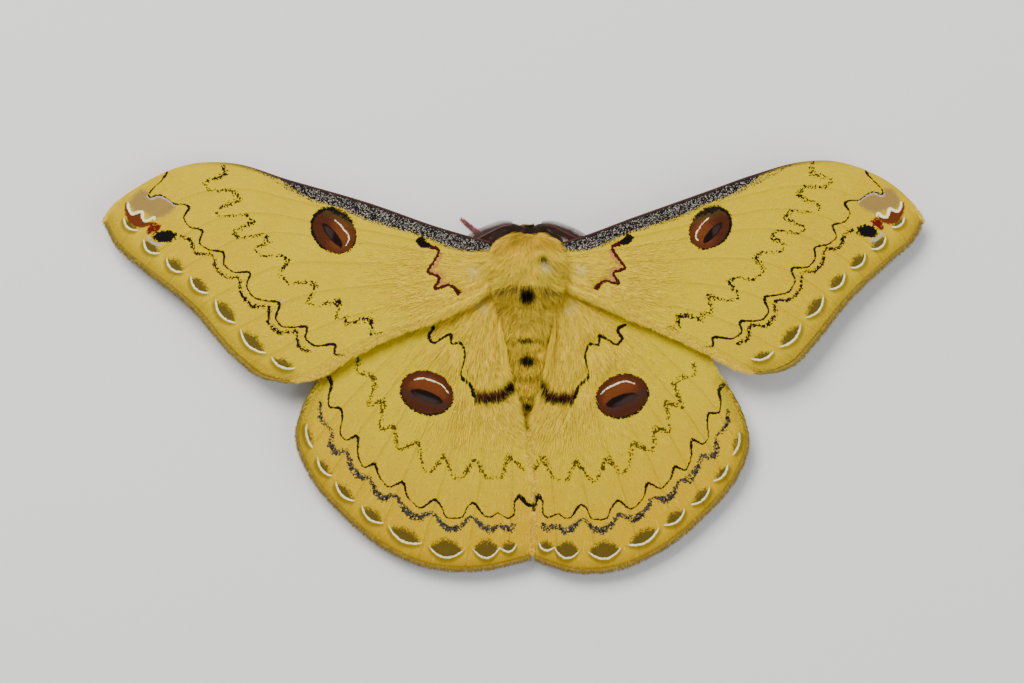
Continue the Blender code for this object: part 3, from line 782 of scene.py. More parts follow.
def tube_faces(rows: int, sides: int) -> Array:
    """Triangles of a closed tube, whose two end points follow its rings.

    Args:
        rows: how many rings it has.
        sides: how many points a ring has.

    Returns:
        Triangles as rows of three point numbers.
    """
    ring = np.arange(sides)
    onward, last, end = (ring + 1) % sides, (rows - 1) * sides, rows * sides
    caps = [stacked(onward, ring, end), stacked(last + ring, last + onward, end + 1)]
    return np.concatenate([grid_faces(rows, sides, wrap=True), *caps])


def tube(line: Array, radii: Array, sides: int) -> tuple[Array, Array]:
    """A closed tube round a line.

    Args:
        line: the middle line's points.
        radii: the radius at each.
        sides: how many sides it has.

    Returns:
        Its points and its triangles.
    """
    along = unit(np.gradient(line, axis=0))
    across = unit(np.cross(along, UP) + 1e-9)
    upward = np.cross(across, along)
    turn = np.linspace(0.0, 2 * math.pi, sides, endpoint=False)
    spokes = np.cos(turn)[None, :, None] * across[:, None] + np.sin(turn)[None, :, None] * upward[:, None]
    rings = line[:, None] + radii[:, None, None] * spokes
    return np.concatenate([rings.reshape(-1, 3), line[:1], line[-1:]]), tube_faces(len(line), sides)


def joined(parts: Sequence[tuple[Array, Array]]) -> tuple[Array, Array]:
    """Several meshes as one."""
    points, faces, count = [], [], 0
    for part_points, part_faces in parts:
        points.append(part_points)
        faces.append(part_faces + count)
        count += len(part_points)
    return np.concatenate(points), np.concatenate(faces)


def ring_shares(rings: int) -> Array:
    """Where a blade's rings and its tip lie, as shares of its length."""
    return np.append(np.linspace(0.0, 0.62 if rings == 2 else 0.75, rings), 1.0)


@dataclass
class Tufts:
    """Many tapered blades of hair, joined in one mesh."""

    root: Array
    normal: Array
    lie: Array
    length: Array
    width: float
    lift: Array
    curl: Array
    bake: Array
    traits: dict[str, Array]
    rings: int = 2
    sunk: float = 0.00005

    def piece(self, name: str) -> Piece:
        """The joined blades.

        Args:
            name: the piece's name.

        Returns:
            The mesh as arrays.
        """
        count = len(self.root)
        across = unit(np.cross(self.lie, self.normal))
        length, lift = self.length[:, None], self.lift[:, None]
        turn = ring_shares(self.rings)[:-1]
        taper = 0.55 + 0.45 * np.sin(math.pi * np.clip(turn * 1.2 + 0.15, 0.0, 1.0))
        corners = []
        for share, size in zip(turn, taper):
            middle = self.at(share, across, length, lift)
            half = self.width / 2 * size
            corners += [middle + across * half, middle + self.normal * half * 0.7, middle - across * half]
        corners.append(self.at(1.0, across, length, lift))
        points = np.stack(corners, axis=1)
        points[..., 2] = np.maximum(points[..., 2], FLOOR_CLEAR)
        each = points.shape[1]
        faces = self.pattern(each)
        all_faces = (faces[None] + (np.arange(count) * each)[:, None, None]).reshape(-1, 3)
        ring = np.repeat(np.arange(self.rings + 1), [3] * self.rings + [1])
        along = ring_shares(self.rings)[ring]
        fields = {
            key: np.repeat(value, each) if value.ndim == 1 else value[:, ring].ravel()
            for key, value in self.traits.items()
        }
        fields["along"] = np.tile(along, count)
        for key in COAT_FIELDS:
            fields.setdefault(key, np.zeros(count * each))
        patch = stacked(np.tile([0.0, 0.5, 1.0], self.rings + 1)[:each], along) * 0.003
        bake = (self.bake[:, None, :] * 0.99 + patch[None]).reshape(-1, 2)
        return Piece(name, points.reshape(-1, 3), all_faces, fields, bake)

    def at(self, share: float, across: Array, length: Array, lift: Array) -> Array:
        """Middle of every blade at a share of its length."""
        rise = lift * length * (2.0 * share - 1.3 * share**2) - self.sunk * (1.0 - share)
        bend = across * self.curl[:, None] * length * share**2
        return self.root + self.lie * length * share + self.normal * rise + bend

    def pattern(self, each: int) -> Array:
        """Triangles of one blade of so many points."""
        faces = grid_faces(self.rings, 3, wrap=True)
        last = 3 * (self.rings - 1)
        tip = [(last + k, last + (k + 1) % 3, each - 1) for k in range(3)]
        return np.concatenate([faces, np.array(tip + [(2, 1, 0)])])


@dataclass(frozen=True)
class Margins:
    """The edges of a wing as plan points, and where its veins end on the outer margin."""

    costa: Points
    outer: Points
    hind: Points
    veins: Point
    root_y: Point


FORE_VEINS = (0.12, 0.25, 0.36, 0.52, 0.665, 0.81, 0.95)
HIND_VEINS = (0.10, 0.235, 0.336, 0.438, 0.548, 0.677, 0.81, 0.93)
FORE_ROOT_Y = (0.0020, -0.0012)
HIND_ROOT_Y = (0.0000, -0.0036)
MARGINS = {
    (Pair.FORE, Side.LEFT): Margins(
        (
            (-0.0046, 0.0024), (-0.0104, 0.0041), (-0.0192, 0.0073), (-0.0290, 0.0103), (-0.0362, 0.0125),
            (-0.0413, 0.0124), (-0.0471, 0.0099), (-0.0506, 0.0071), (-0.0516, 0.0052),
        ),
        (
            (-0.0516, 0.0052), (-0.0499, 0.0023), (-0.0469, -0.0003), (-0.0409, -0.0050),
            (-0.0349, -0.0116), (-0.0320, -0.0138), (-0.0284, -0.0147),
        ),
        (
            (-0.0048, -0.0034), (-0.0087, -0.0061), (-0.0167, -0.0093), (-0.0218, -0.0120),
            (-0.0246, -0.0138), (-0.0284, -0.0147),
        ),
        FORE_VEINS, FORE_ROOT_Y,
    ),
    (Pair.FORE, Side.RIGHT): Margins(
        (
            (0.0046, 0.0024), (0.0133, 0.0056), (0.0219, 0.0088), (0.0278, 0.0110), (0.0335, 0.0126),
            (0.0370, 0.0128), (0.0411, 0.0118), (0.0466, 0.0081), (0.0483, 0.0053),
        ),
        (
            (0.0483, 0.0053), (0.0468, 0.0028), (0.0445, 0.0008), (0.0390, -0.0043), (0.0341, -0.0102),
            (0.0322, -0.0122), (0.0301, -0.0132), (0.0273, -0.0136),
        ),
        (
            (0.0048, -0.0030), (0.0083, -0.0050), (0.0131, -0.0072), (0.0187, -0.0097), (0.0221, -0.0114),
            (0.0247, -0.0128), (0.0273, -0.0136),
        ),
        FORE_VEINS, FORE_ROOT_Y,
    ),
    (Pair.HIND, Side.LEFT): Margins(
        ((-0.0100, -0.0025), (-0.0170, -0.0065), (-0.0215, -0.0100), (-0.0253, -0.0142)),
        (
            (-0.0253, -0.0142), (-0.0272, -0.0179), (-0.0279, -0.0208), (-0.0263, -0.0256),
            (-0.0223, -0.0304), (-0.0175, -0.0344), (-0.0117, -0.0369), (-0.0059, -0.0372),
            (0.0005, -0.0358),
        ),
        (
            (-0.0031, -0.0070), (-0.0027, -0.0101), (-0.0022, -0.0132), (-0.0015, -0.0168),
            (-0.0007, -0.0198), (-0.0001, -0.0223), (0.0004, -0.0255), (0.0006, -0.0297), (0.0005, -0.0358),
        ),
        HIND_VEINS, HIND_ROOT_Y,
    ),
    (Pair.HIND, Side.RIGHT): Margins(
        ((0.0100, -0.0025), (0.0165, -0.0060), (0.0205, -0.0093), (0.0239, -0.0144)),
        (
            (0.0239, -0.0144), (0.0258, -0.0179), (0.0267, -0.0217), (0.0255, -0.0256), (0.0216, -0.0304),
            (0.0155, -0.0352), (0.0114, -0.0370), (0.0056, -0.0374), (0.0009, -0.0359),
        ),
        (
            (0.0031, -0.0070), (0.0027, -0.0101), (0.0022, -0.0132), (0.0015, -0.0168), (0.0006, -0.0198),
            (0.00045, -0.0223), (0.0008, -0.0255), (0.0010, -0.0297), (0.0009, -0.0359),
        ),
        HIND_VEINS, HIND_ROOT_Y,
    ),
}


@dataclass(frozen=True)
class Eyespot:
    """One eyespot, placed in the photo."""

    centre: Point
    half: Point
    tilt: float
    pupil: Points
    pupil_half: float
    arc: Points
    cap: Point | None = None


@dataclass(frozen=True)
class Lunule:
    """One white arc along the margin, placed in the photo by its ends and its bulge."""

    start: Point
    end: Point
    bulge: float


@dataclass(frozen=True)
class Markings:
    """The markings of a left wing as places in the photo, each line with the ink it carries."""

    lines: dict[str, Points]
    lunules: tuple[Lunule, ...]
    patches: dict[str, Points] = field(default_factory=dict)
    blot: Point | None = None


FORE_MARKS = Markings(
    lines={
        "main": (
            (168, 172, 1.3), (165, 176.5, 1.3), (161, 181.5, 0.8), (152, 190, 0.9), (149, 196.2, 1.0),
            (149.6, 197, 1.0), (159, 195, 0.9), (166, 197.5, 0.8), (175, 204.4, 0.8), (184, 204.8, 0.9),
            (189.5, 207.2, 1.5), (184, 218, 0.9), (189.5, 227, 0.9), (203, 231, 1.4), (199.5, 243, 0.9),
            (209, 250, 0.9), (224, 253, 1.4), (224, 264, 1.0), (232.6, 272, 1.0), (250.5, 273.5, 1.4),
            (247, 286, 1.0), (254, 297.5, 1.0), (266, 301, 1.0), (280, 303, 1.5), (276, 319, 1.1),
            (282, 326.6, 1.1), (292, 327.4, 1.1), (307, 327.4, 1.6), (306, 339, 1.2), (314, 345.6, 1.1),
            (335.4, 345.6, 1.7), (335, 354, 1.2), (345, 356, 1.1), (352, 362, 1.0),
        ),
        "side": (
            (180, 236, 0.8), (189.5, 239.5, 0.8), (196, 253, 0.8), (213, 256, 0.6), (216, 268, 0.8),
            (226, 277, 0.8), (239, 278, 0.6), (241, 293, 0.8), (252.5, 306, 0.9), (269, 307.5, 0.7),
            (269, 322, 0.9), (279, 333, 0.9), (296, 332, 0.7), (299, 346, 0.9), (311, 353, 0.8),
        ),
        "inner": (
            (223, 163, 1.3), (226, 175, 1.7), (204, 183, 0.6), (208, 190, 0.7), (233, 191, 0.9),
            (239, 199, 1.7), (216, 211, 0.5), (218, 216, 0.6), (247.5, 215.5, 0.8), (253, 222, 1.7),
            (233, 233, 0.5), (238, 238, 0.6), (262.5, 235, 0.8), (269, 241, 1.8), (254, 249.5, 0.5),
            (261, 256, 0.6), (282, 256, 0.8), (288, 261, 1.8), (279, 274, 0.7), (289, 283.5, 0.7),
            (309, 282, 0.8), (316, 286, 1.8), (307, 302.5, 0.6), (319, 306, 0.6), (339, 301, 1.8),
            (336, 318.5, 0.6), (347.6, 317.4, 0.9), (344, 325.4, 0.6), (363.6, 319.7, 1.4), (372, 321, 1.8),
            (370.5, 333.5, 1.0), (382, 334.6, 1.0), (386, 340, 0.9),
        ),
        "basal": (
            (430, 247, 1.5), (438.5, 250, 1.0), (434, 262, 0.9), (428, 272, 1.0), (439.8, 278, 0.9),
            (435, 288, 1.0), (451, 286, 0.9), (460.4, 294.3, 1.7),
        ),
        "knot": ((419, 238, 2.8), (423, 244, 2.8), (431, 246.5, 1.2)),
        "blush": (
            (442, 253, 0.9), (437.5, 263, 0.9), (432.5, 271, 0.9), (443, 277, 0.9), (440, 284.5, 0.9),
            (450, 283, 0.6),
        ),
        "zig": (
            (128.6, 202.8, 0.8), (128.4, 207, 1.0), (131.4, 213.4, 1.0), (132.4, 213.9, 1.0),
            (140.8, 211.7, 1.0), (142.6, 212.6, 1.0), (142.6, 218, 1.0), (144.2, 220.8, 1.0),
            (145.2, 221, 1.0), (149.7, 220.4, 1.0), (153.6, 217.8, 1.0), (154.6, 218.2, 1.0),
            (155, 220.6, 0.8),
        ),
        "lilac": (
            (147.2, 196.6, 1.0), (150.2, 199, 1.2), (159, 196.6, 1.0), (166, 199.2, 1.0), (171.5, 203, 0.9),
            (175, 206.6, 0.6), (175.2, 207, 0.0), (147.4, 235.6, 0.0), (147.8, 236, 0.7), (150, 240.8, 1.4),
            (154.4, 243.8, 1.6), (159, 245, 1.4), (163, 243.6, 0.8),
        ),
    },
    lunules=(
        Lunule((124, 218), (138, 230.4), 4.5),
        Lunule((144, 240), (160, 253.5), 5.5),
        Lunule((167, 258), (184.5, 272), 5.6),
        Lunule((191, 277), (209, 293), 5.6),
        Lunule((216, 300), (236, 323), 6.2),
        Lunule((241, 330), (266, 353), 6.2),
        Lunule((272, 358), (295, 368), 4.5),
    ),
    patches={
        "tan": (
            (129, 202), (134, 196), (141, 190), (147, 191), (150, 198), (160, 196.5), (168, 200),
            (176, 207), (173, 211), (167, 215), (157, 218.5), (150, 216), (144, 212), (136, 212),
            (131, 208),
        ),
        "ember": (
            (125.8, 203), (128, 206), (130, 212), (134, 214.5), (141, 213), (142, 219), (146, 222),
            (155, 222.8), (149, 225.8), (142.4, 227.6), (136.9, 227), (130.2, 222.6), (126.4, 216),
            (125, 208),
        ),
        "blood": (
            (147.6, 232), (149.6, 227.4), (152, 224), (156, 222.6), (157.5, 225), (161, 226), (159, 229.5),
            (153, 232.5), (148.6, 234),
        ),
    },
    blot=(164.7, 236.7, 12.3, 6.3),
)
HIND_MARKS = Markings(
    lines={
        "main": (
            (325, 372, 2.6), (332, 384, 2.0), (329, 395, 1.2), (330, 407, 1.0), (341, 409, 1.7),
            (342.5, 416, 1.1), (341, 435, 0.9), (346, 440, 0.9), (357, 436, 1.8), (358, 455, 0.9),
            (364, 467.5, 0.9), (374.6, 464, 1.6), (379, 476, 0.9), (389, 487, 0.9), (403, 482, 1.6),
            (407, 496, 0.9), (421, 508, 0.9), (435, 499.6, 1.5), (442.5, 508.6, 0.9), (446, 517, 0.9),
            (457, 518, 0.9), (462, 517, 0.8), (469, 505, 1.0), (473, 503, 1.5), (485, 516, 0.9),
            (491, 517, 0.9), (497, 513, 0.9), (508.6, 518, 1.0), (513, 516, 1.0), (515, 501, 1.3),
            (519, 496, 2.4), (528, 505, 2.0), (535, 505, 2.0),
        ),
        "side": (
            (321, 401, 0.6), (321, 419, 1.2), (332, 432, 0.7), (331, 444, 1.6), (335, 452, 1.8),
            (346, 451, 1.0), (351, 466, 1.5), (358.6, 476, 1.8), (369, 478, 0.9), (376, 492.5, 1.5),
            (383.6, 498, 1.8), (396, 496, 0.9), (405, 510, 1.5), (417.5, 518, 1.8), (432, 513, 0.8),
            (442.5, 524.6, 1.5), (451, 529, 1.8), (460, 527, 1.4), (471, 516.6, 0.8), (482, 526, 1.5),
            (489, 530, 1.8), (499, 525.5, 1.0), (510, 529, 1.8), (515, 524, 1.0),
        ),
        "inner": (
            (358.6, 358, 1.8), (357, 373, 0.8), (369, 374.6, 1.4), (376, 382, 1.7), (367.5, 405, 0.7),
            (383.6, 401, 1.7), (380, 430, 0.6), (394, 426, 1.7), (398, 450, 0.6), (417.5, 442.5, 1.7),
            (423, 467.5, 0.6), (430, 473, 0.8), (444, 457, 1.6), (455, 478, 0.7), (460, 480, 0.8),
            (474.6, 460, 1.6), (487, 478, 0.7), (501, 478, 0.7), (508.6, 457, 1.6), (524.6, 471, 0.7),
        ),
        "basal": (
            (425, 322, 0.9), (433.6, 328, 1.0), (428.5, 337, 0.9), (433.6, 343, 0.8), (443, 338, 0.7),
            (451, 334.6, 1.0), (452, 344, 0.6), (460, 343, 0.8), (465, 352, 0.7), (464, 362, 0.6),
            (461, 375, 0.6), (462, 378, 0.9), (469, 383.6, 0.9), (474.6, 398, 1.2),
        ),
        "blush": ((474, 396, 3.4), (488, 396, 3.8), (503, 394, 3.6)),
        "knot": ((503, 393, 3.4), (509, 387, 3.4), (518, 389, 2.8)),
    },
    lunules=(
        Lunule((307, 424), (313, 448), 3.0),
        Lunule((318, 458), (332, 476), 4.0),
        Lunule((336, 482), (355, 501), 5.0),
        Lunule((362, 506), (383.6, 523), 5.5),
        Lunule((389, 526), (422, 543), 7.0),
        Lunule((429, 546), (464, 549.6), 9.5),
        Lunule((473, 549), (499.6, 547.5), 9.5),
        Lunule((500, 547.5), (516.6, 544.5), 5.5),
    ),
)
MARKS = {Pair.FORE: FORE_MARKS, Pair.HIND: HIND_MARKS}
SHARP_BENDS = {"inner": 0.7, "zig": 0.6, "main": 0.25, "side": 0.25}
PALE_TUFTS = {Pair.FORE: (480, 270), Pair.HIND: (487, 298)}
EYESPOTS = {
    (Pair.FORE, Side.LEFT): Eyespot(
        (334.0, 231.5), (25.0, 20.0), 50.0, ((323.5, 224.5), (342, 247)), 4.0,
        (
            (334.8, 220.4, 0.7), (341, 225.7, 1.0), (344.6, 230.6, 1.0), (348.2, 234.6, 1.0),
            (349, 240, 1.0), (346, 245.8, 0.6),
        ),
        (344.5, 212.0),
    ),
    (Pair.FORE, Side.RIGHT): Eyespot(
        (710.0, 228.5), (23.5, 18.5), -49.0, ((721.5, 223.3), (703.6, 243)), 3.7,
        (
            (709, 217.7, 0.7), (704.7, 221.7, 1.0), (700.7, 225.7, 1.0), (698.9, 229.3, 1.0),
            (696.3, 233, 1.0), (695.8, 238, 1.0), (698, 241, 0.6),
        ),
        (703.0, 210.5),
    ),
    (Pair.HIND, Side.LEFT): Eyespot(
        (427.0, 392.8), (27.4, 21.8), 22.0, ((411, 391), (442.5, 402.5)), 5.2,
        (
            (414, 380, 1.0), (420, 378.5, 1.1), (426, 379, 1.1), (434, 381.4, 1.1), (440.7, 384.5, 1.0),
            (448.8, 393.4, 0.8),
        ),
    ),
    (Pair.HIND, Side.RIGHT): Eyespot(
        (622.0, 396.0), (26.9, 21.8), -20.0, ((606, 405.5), (637, 395)), 5.2,
        ((601, 394, 0.8), (606, 389, 1.0), (613, 385.6, 1.1), (626, 381.4, 1.1), (634.4, 383.9, 1.0)),
    ),
}
COSTAL_EDGE = (
    (245, 160, 1.0), (312, 200, 1.0), (340, 208, 1.0), (366, 219, 1.0), (392, 227, 1.0), (419, 235, 1.0),
    (467, 251, 1.0), (495, 250, 1.0),
)


@dataclass
class Wing:
    """One wing: its curved membrane, its raised veins and the fields its markings are drawn from."""

    pair: Pair
    side: Side
    spacing: float = 0.00025
    half_thickness: float = 0.00016
    vein_ridge: float = 0.00012
    vein_half: float = 0.00022
    inset: float = 0.00035
    root_gap: float = 0.0004
    overlap: float = 0.034

    def __post_init__(self) -> None:
        """Lay out the wing's edges."""
        self.name = f"{self.pair.value}_{self.side.word()}"
        self.margins = MARGINS[(self.pair, self.side)]
        self.height = LAY.fore if self.pair is Pair.FORE else LAY.hind
        self.samples = np.linspace(0.0, 1.0, 400)
        self.root = self.root_edge(self.samples)
        self.costa = smooth_curve((tuple(self.root[0]), *self.margins.costa), 400)
        self.hind = smooth_curve((tuple(self.root[-1]), *self.margins.hind), 400)
        self.outer = smooth_curve(self.margins.outer, 400)
        self.reach = float(np.linalg.norm(self.outer[200] - self.root[200]))

    def root_edge(self, shares: Array) -> Array:
        """Inner edge of the wing, just out from the flank of the thorax."""
        half = LAY.thorax_half
        first, last = self.margins.root_y
        y = first + (last - first) * shares
        share = np.sqrt(1.0 - ((y - LAY.thorax_y) / half[1]) ** 2)
        half_width, half_height = half[0] * share, half[2] * share
        rise = (self.height(self.side.value * half_width, y) - LAY.thorax_z) / half_height
        x = self.side.value * (half_width * np.sqrt(np.clip(1.0 - rise**2, 0.0, 1.0)) + self.root_gap)
        return stacked(x, y)

    def along(self, edge: Array, share: Array) -> Array:
        """Points of an edge at shares of its length."""
        return read_rows(share, self.samples, edge[:, :2])

    def plan(self, u: Array, v: Array) -> Array:
        """Plan points of the wing.

        Args:
            u: share from the root to the outer margin.
            v: share from the costa to the hind margin.

        Returns:
            Plan points, with the arrays' shape and one axis more.
        """
        p, q = u[..., None], v[..., None]
        corners = (1 - p) * ((1 - q) * self.costa[0] + q * self.hind[0])
        corners = corners + p * ((1 - q) * self.costa[-1] + q * self.hind[-1])
        spanned = (1 - q) * self.along(self.costa, u) + q * self.along(self.hind, u)
        return spanned + (1 - p) * self.along(self.root, v) + p * self.along(self.outer, v) - corners

    def find(self, places: Array) -> tuple[Array, Array]:
        """Shares u and v of plan points.

        Args:
            places: plan points, one a row.

        Returns:
            The two arrays of shares.
        """
        u, v = np.meshgrid(np.linspace(0.0, 1.0, 121), np.linspace(0.0, 1.0, 81), indexing="ij")
        net = self.plan(u, v).reshape(-1, 2)
        nearest = np.array([np.argmin(((net - place) ** 2).sum(axis=1)) for place in places])
        u, v = u.ravel()[nearest], v.ravel()[nearest]
        step = 0.002
        for _ in range(6):
            here = self.plan(u, v)
            du = (self.plan(np.clip(u + step, 0, 1), v) - here) / step
            dv = (self.plan(u, np.clip(v + step, 0, 1)) - here) / step
            off = places - here
            det = du[:, 0] * dv[:, 1] - du[:, 1] * dv[:, 0]
            det = np.where(np.abs(det) < 1e-9, 1e-9, det)
            u = np.clip(u + (off[:, 0] * dv[:, 1] - off[:, 1] * dv[:, 0]) / det, 0.0, 1.0 - step)
            v = np.clip(v + (du[:, 0] * off[:, 1] - du[:, 1] * off[:, 0]) / det, 0.0, 1.0 - step)
        return u, v

    def place(self, pixels: Sequence[Point]) -> Array:
        """Plan points of photo places, which are given on the left wing of the pair.

        Args:
            pixels: photo places, each with a third value where it has ink.

        Returns:
            Plan points on this wing with that third value.
        """
        left = self if self.side is Side.LEFT else Wing(self.pair, Side.LEFT)
        places = PHOTO.to_plan(pixels, left.height)
        if self.side is Side.RIGHT:
            u, v = left.find(places)
            places = self.plan(u, np.clip(v + (self.overlap if self.pair is Pair.HIND else 0.0), 0.0, 1.0))
        ink = np.array([p[2] if len(p) > 2 else 1.0 for p in pixels])
        return np.column_stack([places, ink])

    def net(self) -> tuple[Array, Array]:
        """Shares u and v of the membrane's points, with a column on every vein."""
        length = np.linalg.norm(np.diff(self.costa, axis=0), axis=1).sum()
        width = np.linalg.norm(np.diff(self.outer, axis=0), axis=1).sum()
        out = np.linspace(0.0, 1.0 - self.inset / length, int(length / self.spacing))
        back = np.linspace(0.0, 1.0, int(width / self.spacing))
        for vein in self.margins.veins:
            back[np.argmin(np.abs(back - vein))] = vein
        return np.meshgrid(out, back, indexing="ij")

    def vein_distance(self, u: Array, v: Array) -> Array:
        """Distance to the nearest vein, in metres."""
        width = np.linalg.norm(self.plan(u, np.ones_like(v)) - self.plan(u, np.zeros_like(v)), axis=-1)
        nearest = np.min(np.abs(v[..., None] - np.array(self.margins.veins)), axis=-1)
        return nearest * width

    def surface(self, u: Array, v: Array) -> tuple[Array, Array]:
        """Points on the wing's upper face and its normals there."""
        plan = self.plan(u, v)
        x, y = plan[..., 0], plan[..., 1]
        step = 0.00005
        slope_x = (self.height(x + step, y) - self.height(x - step, y)) / (2 * step)
        slope_y = (self.height(x, y + step) - self.height(x, y - step)) / (2 * step)
        normal = unit(stacked(-slope_x, -slope_y, 1.0))
        near = np.exp(-((self.vein_distance(u, v) / self.vein_half) ** 2))
        ridge = self.vein_ridge * near * (1.0 - 0.5 * u)
        middle = stacked(x, y, self.height(x, y))
        return middle + normal * (self.half_thickness + ridge)[..., None], normal

    def spot_fields(self, plan: Array) -> dict[str, Array]:
        """Fields of the eyespot over plan points."""
        spot = EYESPOTS[(self.pair, self.side)]
        turn, (x, y), (long_half, short_half) = math.radians(spot.tilt), spot.centre, spot.half
        axis = (x + long_half * math.cos(turn), y + long_half * math.sin(turn))
        cross = (x - short_half * math.sin(turn), y + short_half * math.cos(turn))
        marks = PHOTO.to_plan([spot.centre, *spot.pupil, axis, cross], self.height)
        centre, first, last, long_end, short_end = marks
        off = plan - centre
        long_way, short_way = long_end - centre, short_end - centre
        spot_r = np.hypot(off @ long_way / (long_way @ long_way), off @ short_way / (short_way @ short_way))
        middle, reach = (first + last) / 2, (last - first) / 2
        half = spot.pupil_half * np.linalg.norm(long_way) / long_half
        beside = np.array((-reach[1], reach[0])) / np.linalg.norm(reach)
        from_middle = plan - middle
        pupil = np.hypot(from_middle @ reach / (reach @ reach), from_middle @ beside / half)
        arc = np.column_stack([PHOTO.to_plan(spot.arc, self.height), [p[2] for p in spot.arc]])
        lit = arc[:, :2].mean(axis=0) - centre
        cap = np.zeros(len(plan))
        if spot.cap is not None:
            to_cap = PHOTO.to_plan([spot.cap], self.height)[0] - centre
            cap = off @ to_cap / (to_cap @ to_cap)
        glint, ink = signed_distance(plan, smooth_curve(arc, 60))
        return {
            "spot": spot_r, "pupil": pupil, "spot_lit": off @ lit / (lit @ lit) * 0.6,
            "pupil_lit": from_middle @ lit / np.linalg.norm(lit) / half, "spot_cap": cap,
            "glint": glint / MM, "glint_ink": ink,
        }

    def lunule_fields(self, plan: Array) -> dict[str, Array]:
        """Fields of the nearest lunule over plan points."""
        marks = MARKS[self.pair]
        best = np.full(len(plan), 1e9)
        a, b, bulge = np.full(len(plan), 9.0), np.full(len(plan), 9.0), np.zeros(len(plan))
        for lunule in marks.lunules:
            start, end = self.place([lunule.start, lunule.end])[:, :2]
            middle, half = (start + end) / 2, (end - start) / 2
            size = np.linalg.norm(half)
            out = np.array((half[1], -half[0])) / size
            centre = self.plan(np.array([0.7]), np.array([0.5]))[0]
            out = out if (middle - centre) @ out > 0 else -out
            off = plan - middle
            share = off @ half / size**2
            depth = off @ out
            from_chord = np.hypot(np.clip(np.abs(share) - 1.0, 0.0, None) * size, depth)
            nearer = from_chord < best
            best = np.where(nearer, from_chord, best)
            a = np.where(nearer, np.abs(share), a)
            b = np.where(nearer, depth / MM, b)
            pixel = 2 * size / np.hypot(lunule.end[0] - lunule.start[0], lunule.end[1] - lunule.start[1])
            bulge = np.where(nearer, lunule.bulge * pixel / MM, bulge)
        return {"arc_a": a, "arc_b": b, "arc_bulge": bulge}

    def fields(self, u: Array, v: Array) -> dict[str, Array]:
        """Every field that the wing's finish reads, over flat arrays of shares."""
        plan = self.plan(u, v)
        marks = MARKS[self.pair]
        made: dict[str, Array] = {}
        for name in ("main", "side", "inner", "basal", "blush", "knot", "zig", "lilac"):
            if name in marks.lines:
                sharp = SHARP_BENDS.get(name, 0.0)
                line = smooth_curve(self.place(marks.lines[name]), 16 * len(marks.lines[name]), sharp)
                distance, ink = signed_distance(plan, line)
                made[name], made[name + "_ink"] = distance / MM, ink
            else:
                made[name], made[name + "_ink"] = np.full(len(u), FAR), np.zeros(len(u))
        for name in ("tan", "ember", "blood"):
            inside = np.full(len(u), -FAR)
            if name in marks.patches:
                inside = polygon_depth(plan, self.place(marks.patches[name])[:, :2]) / MM
            made[name] = inside
        made.update(self.spot_fields(plan))
        made.update(self.lunule_fields(plan))
        made.update(self.edge_fields(u, v, plan, marks))
        return made

    def edge_fields(self, u: Array, v: Array, plan: Array, marks: Markings) -> dict[str, Array]:
        """Fields of the margins, the costal band, the black patch, the veins and the ground colour."""
        ones = np.ones(len(self.outer))
        fringe = np.abs(signed_distance(plan, np.column_stack([self.outer, ones]))[0]) / MM
        rim = np.abs(signed_distance(plan, np.column_stack([self.costa, ones]))[0]) / MM
        blot = np.full(len(u), 9.0)
        costal = np.full(len(u), -9.0)
        if marks.blot is not None:
            x, y, half_x, half_y = marks.blot
            centre, right, down = self.place([(x, y), (x + half_x, y), (x, y + half_y)])[:, :2]
            off, across, under = plan - centre, right - centre, down - centre
            blot = np.hypot(off @ across / (across @ across), off @ under / (under @ under))
            edge = smooth_curve(self.place(COSTAL_EDGE), 200)
            costal = signed_distance(plan, edge)[0] * -self.side.value / MM
            costal = np.where(u > 0.75, -9.0, costal)
            costal = np.where(costal > 0, costal * ease(0.66, 0.45, u) - 0.5 * ease(0.42, 0.64, u), costal)
        hind = self.pair is Pair.HIND
        golden = 0.3 + 0.25 * ease(0.6, 1.0, u)
        if hind:
            golden = 0.35 + 0.45 * ease(0.55, 1.0, u) - 0.4 * ease(0.4, 0.0, v)
        return {
            "fringe": fringe, "rim": rim, "blot": blot, "costal": costal, "gold": golden,
            "rim_ink": ease(0.8, 0.5, u) * (not hind), "vein": self.vein_distance(u, v) / MM,
            "blue": np.full(len(u), float(hind)),
        }

    def flow(self, u: Array, v: Array) -> Array:
        """Coordinates along and across the lie of the scales, for their streaks."""
        plan = self.plan(u, v)
        root = self.plan(np.full_like(u, 0.0), np.full_like(v, 0.5))
        run = np.linalg.norm(plan - root, axis=-1) / MM
        width = np.linalg.norm(self.outer[0] - self.outer[-1]) / MM
        return stacked(v * width * 8.0, run * 0.7, 0.0)

